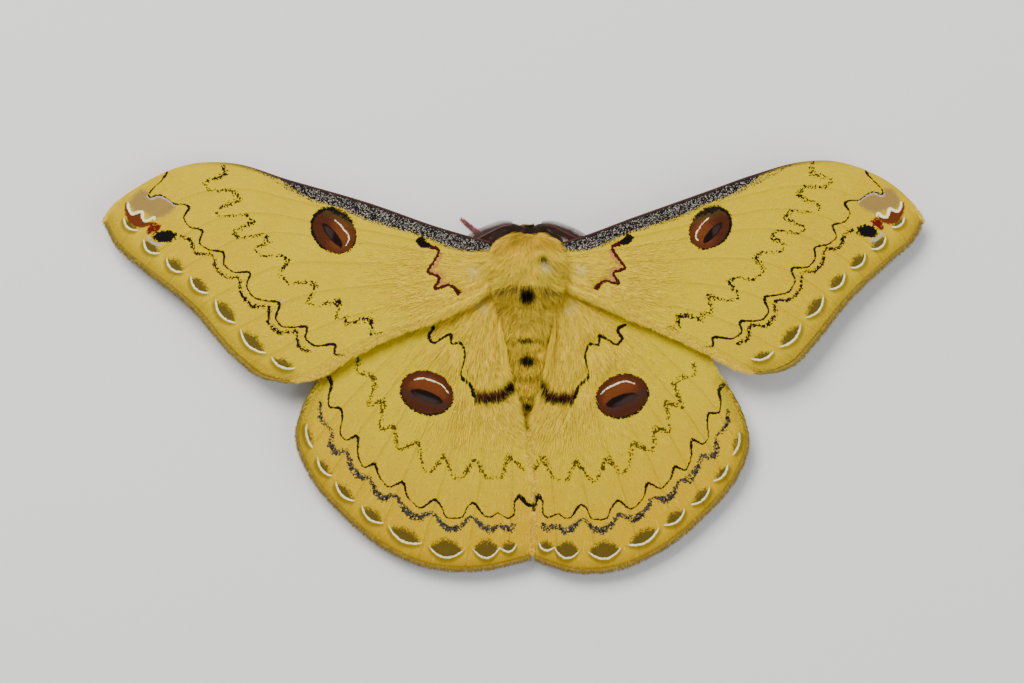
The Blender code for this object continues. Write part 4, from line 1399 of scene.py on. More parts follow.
    def build(self, material: Material) -> None:
        """Make the membrane.

        Args:
            material: the wing's finish.
        """
        u, v = self.net()
        (rows, across), each = u.shape, u.size
        upper, normal = self.surface(u, v)
        lower = upper - normal * 2 * self.half_thickness
        flat_u, flat_v = u.ravel(), v.ravel()
        self.grid = {key: value.reshape(u.shape) for key, value in self.fields(flat_u, flat_v).items()}
        top = grid_faces(rows, across)
        if self.side is Side.LEFT:
            top = top[:, ::-1]
        under = top[:, ::-1] + each
        rim = np.concatenate([
            np.arange(across), np.arange(1, rows) * across + across - 1,
            (rows - 1) * across + np.arange(across - 2, -1, -1), np.arange(rows - 2, 0, -1) * across,
        ])
        onward = np.roll(rim, -1)
        skirt = np.concatenate([stacked(rim, rim + each, onward + each), stacked(rim, onward + each, onward)])
        if self.side is Side.LEFT:
            skirt = skirt[:, ::-1]
        fields = {key: np.tile(value.ravel(), 2) for key, value in self.grid.items()}
        fields["flow"] = np.tile(self.flow(flat_u, flat_v), (2, 1))
        plan = self.plan(flat_u, flat_v)
        low, high = plan.min(axis=0), plan.max(axis=0)
        patch = (plan - low) / (high - low).max() * 0.49
        bake = np.concatenate([patch + 0.005, patch + 0.505])
        points = np.concatenate([upper.reshape(-1, 3), lower.reshape(-1, 3)])
        piece = Piece(self.name + "_scales", points, np.concatenate([top, under, skirt]), fields, bake)
        piece.make(material, "wing", [self.name])

    def read(self, name: str, u: Array, v: Array) -> Array:
        """A field at any shares, read from the membrane's own net."""
        values = self.grid[name]
        row, column = (
            np.clip((share * (size - 1)).round().astype(int), 0, size - 1)
            for share, size in zip((u, v), values.shape)
        )
        return values[row, column]


@dataclass(frozen=True)
class PileStyle:
    """How many hairs of each kind a wing has, and where its long hair grows."""

    scales: int
    hairs: int
    bristles: int
    span: float
    start: float
    crowding: float
    fade: Point
    rise: Point
    extra: float


PILES = {
    Pair.FORE: PileStyle(6600, 8600, 5200, 0.62, 0.25, 0.8, (0.65, 0.15), (0.1, 0.9), 0.9),
    Pair.HIND: PileStyle(6000, 11600, 5600, 0.8, 0.0, 0.62, (0.85, 0.25), (0.05, 0.75), 1.7),
}
FRINGE_HAIRS = 4000
CLEARANCES = {"main": 0.24, "side": 0.26, "inner": 0.24, "basal": 0.34, "zig": 0.24}
FORE_CLEARANCES = {"knot": 0.4, "blush": 0.22}


@dataclass
class WingPile:
    """The hair and raised scales that lie over one wing, and the fringe round it."""

    wing: Wing
    seed: int

    def __post_init__(self) -> None:
        """Start the wing's own random draws."""
        self.draw = np.random.default_rng(SEED + self.seed)
        self.fore = self.wing.pair is Pair.FORE
        self.style = PILES[self.wing.pair]

    def hairs(
        self, u: Array, v: Array, length: Array, width: float, lift: float, turn: Array,
        rings: int, stray: float = 1.0,
    ) -> Tufts:
        """Hair rooted at shares of the wing, lying from its root to its margin.

        Args:
            u: shares from the root out.
            v: shares from the costa back.
            length: each hair's length.
            width: their width.
            lift: how far they stand off, as a share of their length.
            turn: how far each leans towards the hind margin, in radians.
            rings: how many rings of points each has.
            stray: how far each strays from its way.

        Returns:
            The hairs.
        """
        wing, draw, count = self.wing, self.draw, len(u)
        root, normal = wing.surface(u, v)
        step = 0.004
        ahead, _ = wing.surface(np.clip(u + step, 0.0, 1.0), v)
        behind, _ = wing.surface(np.clip(u - step, 0.0, 1.0), v)
        lie = unit(ahead - behind)
        beside = np.cross(lie, normal) * wing.side.value
        clump = (np.floor(u * wing.reach / (0.9 * MM)) * 97 + np.floor(v * 60)).astype(int) % len(CLUMPS)
        swing = turn[:, None] + stray * (draw.normal(0.0, 0.07, count)[:, None] + 0.09 * CLUMPS[clump, :1])
        lie = unit(lie * np.cos(swing) + beside * np.sin(swing))
        plan = wing.plan(u, v)
        low, high = wing.outer.min(axis=0), wing.outer.max(axis=0)
        traits = {
            "tone": np.clip(draw.random(count) * 0.5 + 0.25 + 0.12 * CLUMPS[clump, 1], 0.0, 1.0),
            "gold": wing.read("gold", u, v),
            **self.band(u, v, length, rings, plan),
        }
        bake = np.clip((plan - low) / (high - low).max(), 0.0, 1.0)
        return Tufts(
            root, normal, lie, length, width, np.full(count, lift) * draw.uniform(0.5, 1.5, count),
            draw.normal(0.0, 0.08, count), bake, traits, rings,
        )

    def band(self, u: Array, v: Array, length: Array, rings: int, plan: Array) -> dict[str, Array]:
        """Colour fields of the hair where it crosses the hindwing's dark band or the forewing's pale patch.

        Args:
            u: shares of the roots from the root out.
            v: shares from the costa back.
            length: each hair's length.
            rings: how many rings of points each has.
            plan: plan points of the roots.

        Returns:
            The fields, one value for each hair or for each of its rings.
        """
        wing, draw, count = self.wing, self.draw, len(u)
        away = np.linalg.norm(plan - wing.place([PALE_TUFTS[wing.pair]])[0, :2], axis=1) / MM
        pale = ease(0.95, 0.2, away + draw.normal(0.0, 0.3, count)) * 0.35
        if self.fore:
            return {"white": pale}
        seen_u = np.clip(u[:, None] + length[:, None] * ring_shares(rings) / wing.reach, 0.0, 1.0)
        seen_v = np.repeat(v[:, None], rings + 1, axis=1)
        rough = draw.normal(0.0, 0.06, count)[:, None]
        band = wing.read("blush", seen_u, seen_v) * -wing.side.value
        near = ease(0.06, -0.06, np.abs(band) - wing.read("blush_ink", seen_u, seen_v) * 0.19 + rough)
        black = ease(0.02, -0.15, band + draw.normal(0.0, 0.1, count)[:, None])
        knot = np.abs(wing.read("knot", seen_u, seen_v)) - wing.read("knot_ink", seen_u, seen_v) * 0.2
        knot = np.where(wing.read("knot_ink", seen_u, seen_v) > 0.0, ease(0.06, -0.06, knot + rough), 0.0)
        maroon = near * draw.uniform(0.88, 1.0, count)[:, None]
        return {"white": pale, "maroon": maroon, "ink": np.maximum(near * black, knot)}

    def clear_of_marks(self, root_u: Array, v: Array, length: Array) -> Array:
        """Where hair covers no fine marking.

        Args:
            root_u: shares of the roots from the wing's root out.
            v: shares from the costa back.
            length: each hair's length.

        Returns:
            True for each hair to keep.
        """
        wing = self.wing
        keep = np.ones(len(v), bool)
        marks = CLEARANCES | (FORE_CLEARANCES if self.fore else {})
        for reach in (0.0, 0.35, 0.7, 1.0):
            u = np.clip(root_u + reach * length / wing.reach, 0.0, 1.0)
            for name, clear in marks.items():
                near = np.abs(wing.read(name, u, v)) < clear
                keep &= ~(near & (wing.read(name + "_ink", u, v) > 0.05))
            keep &= wing.read("spot", u, v) > 1.06
            keep &= ~((wing.read("arc_a", u, v) < 1.15) & (np.abs(wing.read("arc_b", u, v) - 0.3) < 0.9))
            keep &= (wing.read("tan", u, v) < -0.2) & (wing.read("ember", u, v) < -0.2)
            keep &= (wing.read("blot", u, v) > 1.2) & (wing.read("costal", u, v) < -0.2)
        return keep

    def short(self) -> None:
        """Flat scales all over the wing, where they cover no fine marking."""
        count = self.style.scales
        u = np.sqrt(self.draw.uniform(0.02, 0.955, count))
        v = self.draw.uniform(0.01, 0.99, count)
        length = self.draw.uniform(0.35, 0.75, count) * MM
        keep = self.clear_of_marks(u, v, length)
        u, v, length = u[keep], v[keep], length[keep]
        tufts = self.hairs(u, v, length, width=0.055 * MM, lift=0.06, turn=np.zeros(len(u)), rings=2)
        tufts.traits["tone"] = self.draw.uniform(0.1, 0.42, len(u))
        tufts.piece(self.wing.name + "_pile").make(COAT, "wing")

    def long(self) -> None:
        """Long hair over the wing's base, longest towards the body."""
        draw, style, count = self.draw, self.style, self.style.hairs
        u = draw.beta(1.3, 2.6, count) * style.span
        v = draw.uniform(style.start, 1.0, count) ** style.crowding
        reach = ease(*style.fade, u) * ease(*style.rise, v)
        length = (0.7 + style.extra * reach) * draw.uniform(0.7, 1.15, count) * MM
        keep = (draw.random(count) < reach * 1.3 + 0.05) & self.clear_of_marks(u, v, length)
        u, v, length = u[keep], v[keep], length[keep]
        turn = (0.25 if self.fore else 0.34 * ease(0.75, 0.5, u)) * ease(0.6, 1.0, v)
        tufts = self.hairs(u, v, length, width=0.055 * MM, lift=0.16, turn=turn, rings=3)
        tufts.piece(self.wing.name + "_hair").make(COAT, "wing")

    def fringe(self) -> None:
        """Short hair along the outer margin, which wraps round the forewing's tip."""
        draw, wing, count = self.draw, self.wing, FRINGE_HAIRS
        last = 1.0 - wing.inset / np.linalg.norm(np.diff(wing.costa, axis=0), axis=1).sum()
        tip = draw.random(count) < (0.13 if self.fore else 0.0)
        u = last - draw.uniform(0.0, 0.35, count) * MM / wing.reach
        u = np.where(tip, draw.uniform(0.93, last, count), u)
        v = np.where(tip, draw.uniform(0.0, 0.012, count), draw.random(count))
        length = draw.uniform(0.7, 0.86, count) * np.where(tip, 0.2 + 0.55 * ease(0.93, 0.98, u), 1.0) * MM
        turn = np.where(tip, -draw.uniform(0.3, 1.0, count), 0.0)
        tufts = self.hairs(u, v, length, width=0.07 * MM, lift=0.04, turn=turn, rings=2, stray=0.3)
        tufts.traits["olive"] = draw.uniform(0.62, 0.85, count) * np.where(tip, 0.3, 1.0)
        tufts.traits["tone"] = draw.uniform(0.3, 0.5, count)
        tufts.piece(wing.name + "_fringe").make(COAT, "wing")

    def bristles(self) -> None:
        """Hair along the forewing's hind margin, and along the hindwing's inner one by the body."""
        draw, fore, count = self.draw, self.fore, self.style.bristles
        u = draw.uniform(0.04, 0.97, count) if fore else 0.97 * draw.random(count) ** 1.5
        near = ease(0.6, 0.45, u) * (not fore)
        v = 1.0 - np.abs(draw.normal(0.0, 0.022, count)) * (1.6 - u) * (1.0 if fore else 0.4 + 0.6 * near)
        grown = (1.15 - 0.6 * u) if fore else (1.15 + 0.55 * near - 0.3 * u)
        length = draw.uniform(0.6, 1.25, count) * grown * MM
        turn = draw.uniform(0.35, 0.8, count) * (1.0 - 0.2 * near)
        v = np.clip(v, 0.0, 1.0)
        keep = fore | (u < 0.5) | self.clear_of_marks(u, v, length)
        u, v, length, turn = u[keep], v[keep], length[keep], turn[keep]
        tufts = self.hairs(u, v, length, width=0.05 * MM, lift=0.1, turn=turn, rings=2)
        tufts.traits["olive"] = draw.uniform(0.0, 0.5, len(u)) * ease(0.3, 0.8, draw.random(len(u))) * fore
        tufts.piece(self.wing.name + "_bristles").make(COAT, "wing")

    def build(self) -> None:
        """Make the wing's hair."""
        self.short()
        self.long()
        self.fringe()
        self.bristles()


@dataclass(frozen=True)
class CoatStyle:
    """One part of the body's coat: where its hairs are rooted and how large they are.

    The span is along Y, the turn goes round the body in degrees, and the length is the shortest
    and what is added to it at most, in millimetres, as the width is.
    """

    name: str
    count: int
    span: Point
    turn: Point
    length: Point
    width: float
    fluff: float = 0.08
    slot: str = "body_fur"
    rings: int = 3


THORAX_COAT = CoatStyle("thorax_hair", 10500, (-0.0034, 0.0031), (2.0, 178.0), (1.3, 0.8), 0.06, 0.24)
WAIST_COAT = CoatStyle("waist_hair", 6600, (-0.0086, -0.0027), (4.0, 176.0), (1.0, 0.9), 0.055, 0.34)
ABDOMEN_COAT = CoatStyle(
    "abdomen_hair", 8500, (-0.0198, -0.0070), (-200.0, 160.0), (1.1, 0.7), 0.06, 0.18, rings=2
)
BELLY_COAT = CoatStyle("belly_hair", 2500, (-0.0044, 0.0022), (190.0, 350.0), (0.9, 0.5), 0.07, rings=2)
COLLAR_COAT = CoatStyle(
    "collar_hair", 5600, (0.0009, 0.0035), (8.0, 172.0), (0.0, 0.0), 0.06, 0.04, "collar_fur"
)
HEAD_COAT = CoatStyle(
    "head_hair", 3600, (0.0029, 0.0046), (0.0, 360.0), (0.35, 0.35), 0.05, slot="head_fur", rings=2
)


@dataclass
class Body:
    """Head, thorax and abdomen as one skin, and the hair on it."""

    thorax_y: float = -0.0010
    thorax_z: float = 0.0049
    thorax_half: Point = (0.0034, 0.0046, 0.0032)
    head: Point = (0.0, 0.0035, 0.0033)
    head_half: Point = (0.0017, 0.0013, 0.0014)
    collar: Point = (0.0, 0.0023, 0.0048)
    collar_half: Point = (0.0027, 0.0014, 0.0024)
    front: float = 0.0047
    rear: float = -0.0207
    sharpness: float = 5.0
    rows: int = 220
    sides: int = 64
    worn_spot: Point = (1.7, -0.5, 0.55)
    pale_spot: Point = (2.0, -1.35, 0.75)
    first_ring: float = -0.0100
    ring_pitch: float = 0.0022
    # where the painted shade of the crease between the thorax and the waist lies
    crease_shade_y: float = -0.00375
    spots: Points = (
        (-0.0045, 0.85, 0.80), (-0.0099, 0.95, 0.28), (-0.0123, 0.85, 0.70), (-0.0175, 0.65, 0.40),
        (-0.0191, 0.30, 0.45),
    )
    waist: Points = (
        (-0.0200, 0.0009), (-0.0151, 0.0016), (-0.0127, 0.0022), (-0.0103, 0.0026), (-0.0089, 0.0030),
        (-0.0070, 0.0038), (-0.0051, 0.0043), (-0.0036, 0.0047),
    )
    yoke: Points = (
        (-0.0060, 0.0044), (-0.0042, 0.0047), (-0.0025, 0.0050), (0.0000, 0.0050), (0.0009, 0.0047),
        (0.0016, 0.0042), (0.0023, 0.0033), (0.0029, 0.0021), (0.0032, 0.0010),
    )
    collar_rim: Points = (
        (-0.0051, 0.0015, 0.0047), (-0.0048, 0.0023, 0.0049), (-0.0041, 0.0032, 0.0052),
        (-0.0029, 0.0038, 0.0056), (-0.0011, 0.0042, 0.0061), (0.0010, 0.0042, 0.0061),
        (0.0028, 0.0037, 0.0056), (0.0041, 0.0030, 0.0052), (0.0047, 0.0022, 0.0049),
        (0.0050, 0.0014, 0.0047),
    )

    def __post_init__(self) -> None:
        """Start the body's own random draws."""
        self.draw = np.random.default_rng(SEED)

    def angles(self, turn: Point, count: int) -> Array:
        """Random angles round the body, between two given in degrees."""
        return self.draw.uniform(math.radians(turn[0]), math.radians(turn[1]), count)

    def roots(self, style: CoatStyle) -> tuple[Array, Array]:
        """Random places along the body and angles round it for a part of the coat."""
        return self.draw.uniform(*style.span, style.count), self.angles(style.turn, style.count)

    def lengths(self, style: CoatStyle, count: int) -> Array:
        """Random lengths of a part's hairs, in millimetres."""
        return style.length[0] + style.length[1] * self.draw.random(count)

    def section(self, y: Array) -> tuple[Array, Array, Array]:
        """Middle height, half width and half height of the skin at a place along Y.

        Args:
            y: places along the body.

        Returns:
            The three arrays.
        """
        def round_part(middle_y: float, reach: float) -> Array:
            """Share of a round part's full size at each place."""
            return np.sqrt(np.clip(1.0 - ((y - middle_y) / reach) ** 2, 0.0, 1.0))

        abdomen_z, abdomen_r = LAY.section(y)
        abdomen_r = np.where(y > -0.0035, 0.0, abdomen_r * 0.96)
        thorax = round_part(self.thorax_y, self.thorax_half[1])
        head = round_part(self.head[1], self.head_half[1])
        collar = round_part(self.collar[1], self.collar_half[1])
        widths, heights = (
            np.stack([
                self.thorax_half[k] * thorax, self.head_half[k] * head,
                abdomen_r, self.collar_half[k] * collar,
            ])
            for k in (0, 2)
        )
        middles = np.stack(np.broadcast_arrays(self.thorax_z, self.head[2], abdomen_z, self.collar[2]))
        weight = widths**3 + 1e-15
        middle = (middles * weight).sum(axis=0) / weight.sum(axis=0)
        power = self.sharpness
        width = (widths**power).sum(axis=0) ** (1 / power)
        height = (heights**power).sum(axis=0) ** (1 / power)
        return middle, np.maximum(width, 0.0001), np.maximum(height, 0.0001)

    def skin_point(self, y: Array, angle: Array) -> Array:
        """Points of the skin at places along Y and angles round it."""
        middle, width, height = self.section(y)
        return stacked(width * np.cos(angle), y, np.maximum(middle + height * np.sin(angle), 0.00012))

    def skin_normal(self, y: Array, angle: Array) -> Array:
        """Outward normals of the skin."""
        step = 0.00006
        along = self.skin_point(y + step, angle) - self.skin_point(y - step, angle)
        turn = self.skin_point(y, angle + 0.02) - self.skin_point(y, angle - 0.02)
        return unit(np.cross(turn, along) * -1.0)

    def marks(self, places: Array) -> dict[str, Array]:
        """Colour fields of the coat over points of the body, with painted shade in the crease behind the
        thorax.
        """
        x, y, z = places[:, 0], places[:, 1], places[:, 2]
        ink = np.zeros(len(x))
        for middle, half_x, half_y in self.spots:
            reach = np.hypot(x / (half_x * MM), (y - middle) / (half_y * MM))
            ink = np.maximum(ink, ease(1.25, 0.75, reach) * (z > 0.8 * MM))
        worn, pale = (
            ease(1.2, core, np.hypot(x - spot[0] * MM, y - spot[1] * MM) / (spot[2] * MM))
            for spot, core in ((self.worn_spot, 0.6), (self.pale_spot, 0.4))
        )
        tawny = ease(-0.0036, -0.0044, y) * ease(-0.0100, -0.0084, y)
        wave = np.cos((y - self.first_ring) * 2 * math.pi / self.ring_pitch)
        ring = ease(0.86, 1.0, wave) * ease(-0.0088, -0.0094, y)
        front = ease(-0.0010, 0.0020, y)
        # painted shade: olive darkening across the crease where the thorax hair ends over the waist
        crease_shade = ease(0.26, 0.06, np.abs(y - self.crease_shade_y) / MM)
        crease_shade = crease_shade * ease(0.0052, 0.0044, np.abs(x)) * (z > 2.0 * MM)
        return {
            "ink": np.maximum(ink, worn * 0.85), "white": pale * 0.5,
            "gold": 0.3 + 0.22 * tawny + 0.5 * front + 0.2 * ease(-0.0090, -0.0110, y),
            "olive": 0.17 * tawny + 0.75 * ring + 0.55 * crease_shade,
            "brown": ease(0.0004, 0.0014, y) * ease(0.0053, 0.0045, z) * 0.85,
        }

    def build_skin(self) -> None:
        """Make the one skin under the body's hair."""
        y = np.linspace(self.front, self.rear, self.rows)
        angle = np.linspace(0.0, 2 * math.pi, self.sides, endpoint=False)
        rows, turns = np.meshgrid(y, angle, indexing="ij")
        rings = self.skin_point(rows.ravel(), turns.ravel())
        ends = self.skin_point(y[[0, -1]], np.zeros(2)) * np.array((0.0, 1.0, 1.0))
        points = np.concatenate([rings, ends])
        fields = {key: np.zeros(len(points)) for key in COAT_FIELDS}
        fields.update(self.marks(points))
        fields["tone"] = np.full(len(points), 0.3)
        fields["brown"] = np.maximum(fields["brown"], ease(0.0028, 0.0033, points[:, 1]))
        down = np.repeat(np.linspace(0.0, 1.0, self.rows), self.sides)
        bake = stacked(np.append(turns.ravel() / (2 * math.pi), (0.0, 0.0)), np.append(down, (0.0, 1.0)))
        faces = tube_faces(self.rows, self.sides)[:, ::-1]
        piece = Piece("body_skin", points, faces, fields, bake * 0.99)
        piece.make(COAT, "body_fur", ["head", "collar", "thorax", "abdomen"])

    def hair(
        self, style: CoatStyle, y: Array, angle: Array, lie: Array, length: Array, lift: Array,
        colours: dict[str, Array] | None = None, curl: Array | float = 0.0, inside: Points | None = None,
    ) -> None:
        """Make hair rooted on the skin.

        Args:
            style: the part of the coat that it is.
            y: places of the roots along the body.
            angle: their angles round it.
            lie: the way each hair lies, before it is laid along the skin.
            length: each hair's length.
            lift: how far each stands off, as a share of its length.
            colours: fields to set in place of the body's own.
            curl: how far each bends sideways, as a share of its length.
            inside: the half width that the tips keep within at places along Y, if they do.
        """
        root, normal = self.skin_point(y, angle), self.skin_normal(y, angle)
        clump = (np.floor(y / (0.7 * MM)) * 61 + np.floor(angle / 0.16)).astype(int) % len(CLUMPS)
        lie = lie + self.draw.normal(0.0, style.fluff, lie.shape) + 0.13 * CLUMPS[clump]
        lift = lift * np.clip(1.0 + 0.3 * CLUMPS[clump, 1], 0.3, 1.8)
        lie = unit(lie - normal * (lie * normal).sum(axis=-1, keepdims=True))
        shown = length[:, None] * ring_shares(style.rings) + self.draw.normal(0.0, 0.00012, (len(y), 1))
        seen = root[:, None] + lie[:, None] * shown[..., None]
        traits = {key: np.zeros(len(y)) for key in COAT_FIELDS if key != "along"}
        marks = self.marks(seen.reshape(-1, 3))
        traits.update({key: values.reshape(shown.shape) for key, values in marks.items()})
        # tone and olive vary by clump: partly the tufts' own random tone, partly painted shade between the
        # tufts
        traits["tone"] = np.clip(self.draw.random(len(y)) * 0.7 + 0.15 + 0.32 * CLUMPS[clump, 0], 0.0, 1.0)
        traits["olive"] *= np.clip(1.0 + CLUMPS[clump, 1:2], 0.0, 3.0)
        traits["olive"] += 0.3 * np.clip(CLUMPS[clump, 2:3] - 0.3, 0.0, 1.2)
        if inside is not None:
            tip = root + (lie + normal * lift[:, None] * 0.7) * length[:, None]
            run = np.abs(tip[:, 0] - root[:, 0]) + 0.00001
            edge = np.interp(tip[:, 1], *np.transpose(inside))
            over = np.abs(tip[:, 0]) - edge * self.draw.uniform(0.88, 1.02, len(y))
            length = length * np.clip(1.0 - over / run, 0.3, 1.0)
        traits.update(colours or {})
        bake = stacked((angle / (2 * math.pi)) % 1.0, (self.front - y) / (self.front - self.rear))
        bend = curl + self.draw.normal(0.0, 0.12, len(y))
        width = style.width * MM
        tufts = Tufts(root, normal, lie, length, width, lift, bend, bake, traits, style.rings, sunk=0.0002)
        tufts.piece(style.name).make(COAT, style.slot)

    def build_thorax(self) -> None:
        """Long hair over the back, which spreads over the wings' roots."""
        draw, style = self.draw, THORAX_COAT
        y, angle = self.roots(style)
        keep = np.abs(self.skin_point(y, angle)[:, 0]) < np.interp(y, *np.transpose(self.yoke)) - 0.0002
        y, angle = y[keep], angle[keep]
        count = len(y)
        out = np.cos(angle)
        flank = ease(0.25, 0.9, np.abs(out))
        lie = stacked(0.7 * out + 1.1 * np.sign(out) * flank, -1.0 + 0.6 * flank, -0.1 + 0.15 * flank)
        length = self.lengths(style, count) * (1.0 + 0.4 * flank) * MM
        lift = draw.uniform(0.16, 0.48, count) + flank * draw.uniform(0.25, 0.7, count)
        curl = 0.25 * flank * np.sign(out)
        self.hair(style, y, angle, lie, length, lift, curl=curl, inside=self.yoke)

    def build_waist(self) -> None:
        """Woolly hair behind the thorax, which covers the base of the abdomen."""
        draw, style, count = self.draw, WAIST_COAT, WAIST_COAT.count
        y, angle = self.roots(style)
        out = np.cos(angle)
        flank = ease(0.3, 0.9, np.abs(out))
        lie = stacked(0.5 * out + np.sign(out) * flank, -1.0, 0.0)
        length = self.lengths(style, count) * (1.0 + 0.5 * flank) * MM
        slope = ease(-0.0064, -0.0050, y) * ease(-0.0028, -0.0040, y)
        lift = draw.uniform(0.15, 0.5, count)
        lift = lift + np.maximum(flank * draw.uniform(0.2, 0.8, count), 0.35 * slope)
        self.hair(style, y, angle, lie, length, lift, inside=self.waist)

    def build_abdomen(self) -> None:
        """Hair that lies back along the abdomen and fans out over its flanks."""
        draw, style, count = self.draw, ABDOMEN_COAT, ABDOMEN_COAT.count
        y, angle = self.roots(style)
        on_top = draw.random(count) < 0.55
        angle = np.where(on_top, self.angles((20.0, 160.0), count), angle)
        beside = ease(0.5, 0.85, np.abs(np.cos(angle))) * (np.sin(angle) > 0.1)
        lie = stacked(-0.1 * np.cos(angle), -1.0, -0.12)
        length = self.lengths(style, count) * (1.0 + 0.3 * beside) * MM
        lift = np.where(np.sin(angle) > 0.0, draw.uniform(0.12, 0.34, count), 0.05)
        lift = lift + 0.5 * beside * draw.random(count)
        lift = np.where(LAY.section(y)[0] < 0.0021, np.minimum(lift, 0.2), lift)
        self.hair(style, y, angle, lie, length, lift, inside=self.waist)

    def build_belly(self) -> None:
        """Short hair under the thorax."""
        style, count = BELLY_COAT, BELLY_COAT.count
        y, angle = self.roots(style)
        lie = stacked(np.zeros(count), -1.0, 0.1)
        self.hair(style, y, angle, lie, self.lengths(style, count) * MM, np.full(count, 0.12))

    def build_collar(self) -> None:
        """The band of grey-brown hair round the front of the thorax, which hangs over the head."""
        draw, style, count = self.draw, COLLAR_COAT, COLLAR_COAT.count
        share = draw.random(count)
        rim = smooth_curve(self.collar_rim, 200)
        tip = read_rows(share, np.linspace(0.0, 1.0, len(rim)), rim)
        across = 2.0 * share - 1.0
        angle = math.pi / 2 - math.radians(90.0 - style.turn[0]) * across + draw.normal(0.0, 0.10, count)
        back, front = style.span
        y = front - (front - back) * np.abs(across) ** 1.5 + draw.uniform(-0.0005, 0.0003, count)
        reach = tip - self.skin_point(y, angle)
        normal = self.skin_normal(y, angle)
        rise = (reach * normal).sum(axis=1)
        flat = np.linalg.norm(reach - normal * rise[:, None], axis=1)
        lift = np.clip(rise / (0.7 * flat), 0.05, 0.9)
        own = {"brown": np.full(count, 1.0), "ink": draw.random(count) * 0.35, "gold": np.full(count, 0.3)}
        length = flat * draw.uniform(0.7, 1.05, count)
        self.hair(style, y, angle, unit(reach), length, lift, own)

    def build_head(self) -> None:
        """Short hair on the head, shortest on the face."""
        style = HEAD_COAT
        y, angle = self.roots(style)
        keep = np.abs(np.cos(angle)) < 0.86
        y, angle = y[keep], angle[keep]
        count = len(y)
        lie = stacked(0.15 * np.cos(angle), 1.0, -0.5)
        length = self.lengths(style, count) * MM * (1.0 - 0.4 * ease(0.0036, 0.0046, y))
        own = {"brown": np.full(count, 0.65), "gold": np.full(count, 0.9), "ink": np.zeros(count)}
        self.hair(style, y, angle, lie, length, np.full(count, 0.3), own)

    def build(self) -> None:
        """Make the skin and all its hair."""
        self.build_skin()
        self.build_thorax()
        self.build_waist()
        self.build_abdomen()
        self.build_belly()
        self.build_collar()
        self.build_head()


def strand_coat(
    line: Array, radii: Array, count: int, length: float, width: float, colours: dict[str, float], seed: int
) -> Piece:
    """Short hair lying along a round limb.

    Args:
        line: the limb's middle line.
        radii: its radius at each point.
        count: how many hairs.
        length: their length.
        width: their width.
        colours: colour fields and their values.
        seed: number of the random draws.

    Returns:
        The hair as arrays.
    """
    draw = np.random.default_rng(SEED + seed)
    share = draw.random(count)
    at, places = share * (len(line) - 1), np.arange(len(line))
    middle = read_rows(at, places, line)
    lie = unit(read_rows(at, places, unit(np.gradient(line, axis=0))))
    across = unit(np.cross(lie, UP))
    upward = np.cross(across, lie)
    turn = draw.uniform(0.0, 2 * math.pi, count)
    normal = np.cos(turn)[:, None] * across + np.sin(turn)[:, None] * upward
    root = middle + normal * np.interp(at, places, radii)[:, None] * 0.96
    keep = root[:, 2] > 0.00025
    traits = {"tone": draw.random(count)}
    traits.update({key: np.full(count, value) for key, value in colours.items()})
    bake = stacked(share, turn / (2 * math.pi))
    lengths = length * draw.uniform(0.6, 1.0, count)
    lift = np.where(normal[:, 2] < -0.2, 0.02, 0.3) * draw.uniform(0.6, 1.0, count)
    tufts = Tufts(
        root[keep], normal[keep], lie[keep], lengths[keep], width, lift[keep],
        draw.normal(0.0, 0.1, count)[keep], bake[keep], {k: t[keep] for k, t in traits.items()}, 2,
    )
    return tufts.piece("limb_hair")


@dataclass
class Eye:
    """One round faceted eye."""

    side: Side
    centre: Point = (0.0015, 0.0037, 0.0031)
    radius: float = 0.00085

    def build(self, material: Material) -> None:
        """Make the eye.

        Args:
            material: its finish.
        """
        down = np.linspace(0.0, math.pi, 25)
        line = np.zeros((25, 3))
        line[:, 1] = -np.cos(down) * self.radius
        points, faces = tube(line, np.maximum(np.sin(down) * self.radius, 1e-7), 40)
        centre = np.array(self.centre) * np.array((self.side.value, 1.0, 1.0))
        name = "eye_" + self.side.word()
        Piece(name + "_ball", points + centre, faces).make(material, "eye", [name])


@dataclass
class Antenna:
    """One feathered feeler: a bent shaft and a comb of fine branches on both edges."""

    side: Side
    pairs: int = 50
    branch: float = 0.0014
    first_pair: float = 0.10
    comb_span: float = 0.86
    shaft: Points = ((0.0, 0.00022), (0.6, 0.00017), (1.0, 0.00006))
    branch_radii: Point = (0.00009, 0.00004)
    line: Points = (
        (0.00080, 0.00410, 0.00465), (0.0014, 0.0044, 0.0048), (0.0025, 0.0044, 0.0046),
        (0.0048, 0.0035, 0.0041), (0.0074, 0.0021, 0.0037), (0.0094, 0.0010, 0.0035),
    )

    def build(self, material: Material) -> None:
        """Make the feeler.

        Args:
            material: its finish.
        """
        shares = np.linspace(0.0, 1.0, 60)
        line = smooth_curve(self.line, 60) * np.array((self.side.value, 1.0, 1.0))
        parts = [tube(line, np.interp(shares, *np.transpose(self.shaft)), 8)]
        along = unit(np.gradient(line, axis=0))
        bend = np.linspace(0.0, 1.0, 6)[:, None]
        for pair in range(self.pairs):
            step = self.first_pair + self.comb_span * pair / (self.pairs - 1)
            start, ahead = read_rows(step, shares, line), read_rows(step, shares, along)
            length = self.branch * math.sin(math.pi * (0.16 + 0.76 * pair / (self.pairs - 1)))
            for edge in (-1, 1):
                out = edge * unit(np.cross(ahead, UP))
                reach = (0.55 * ahead + 0.83 * out) * length
                droop = UP * -0.25 * length
                path = start + reach * bend + droop * bend**2 + ahead * length * 0.15 * bend * (1 - bend)
                parts.append(tube(path, np.linspace(*self.branch_radii, len(bend)), 4))
        points, faces = joined(parts)
        name = "antenna_" + self.side.word()
        Piece(name + "_comb", points, faces).make(material, "antenna", [name])


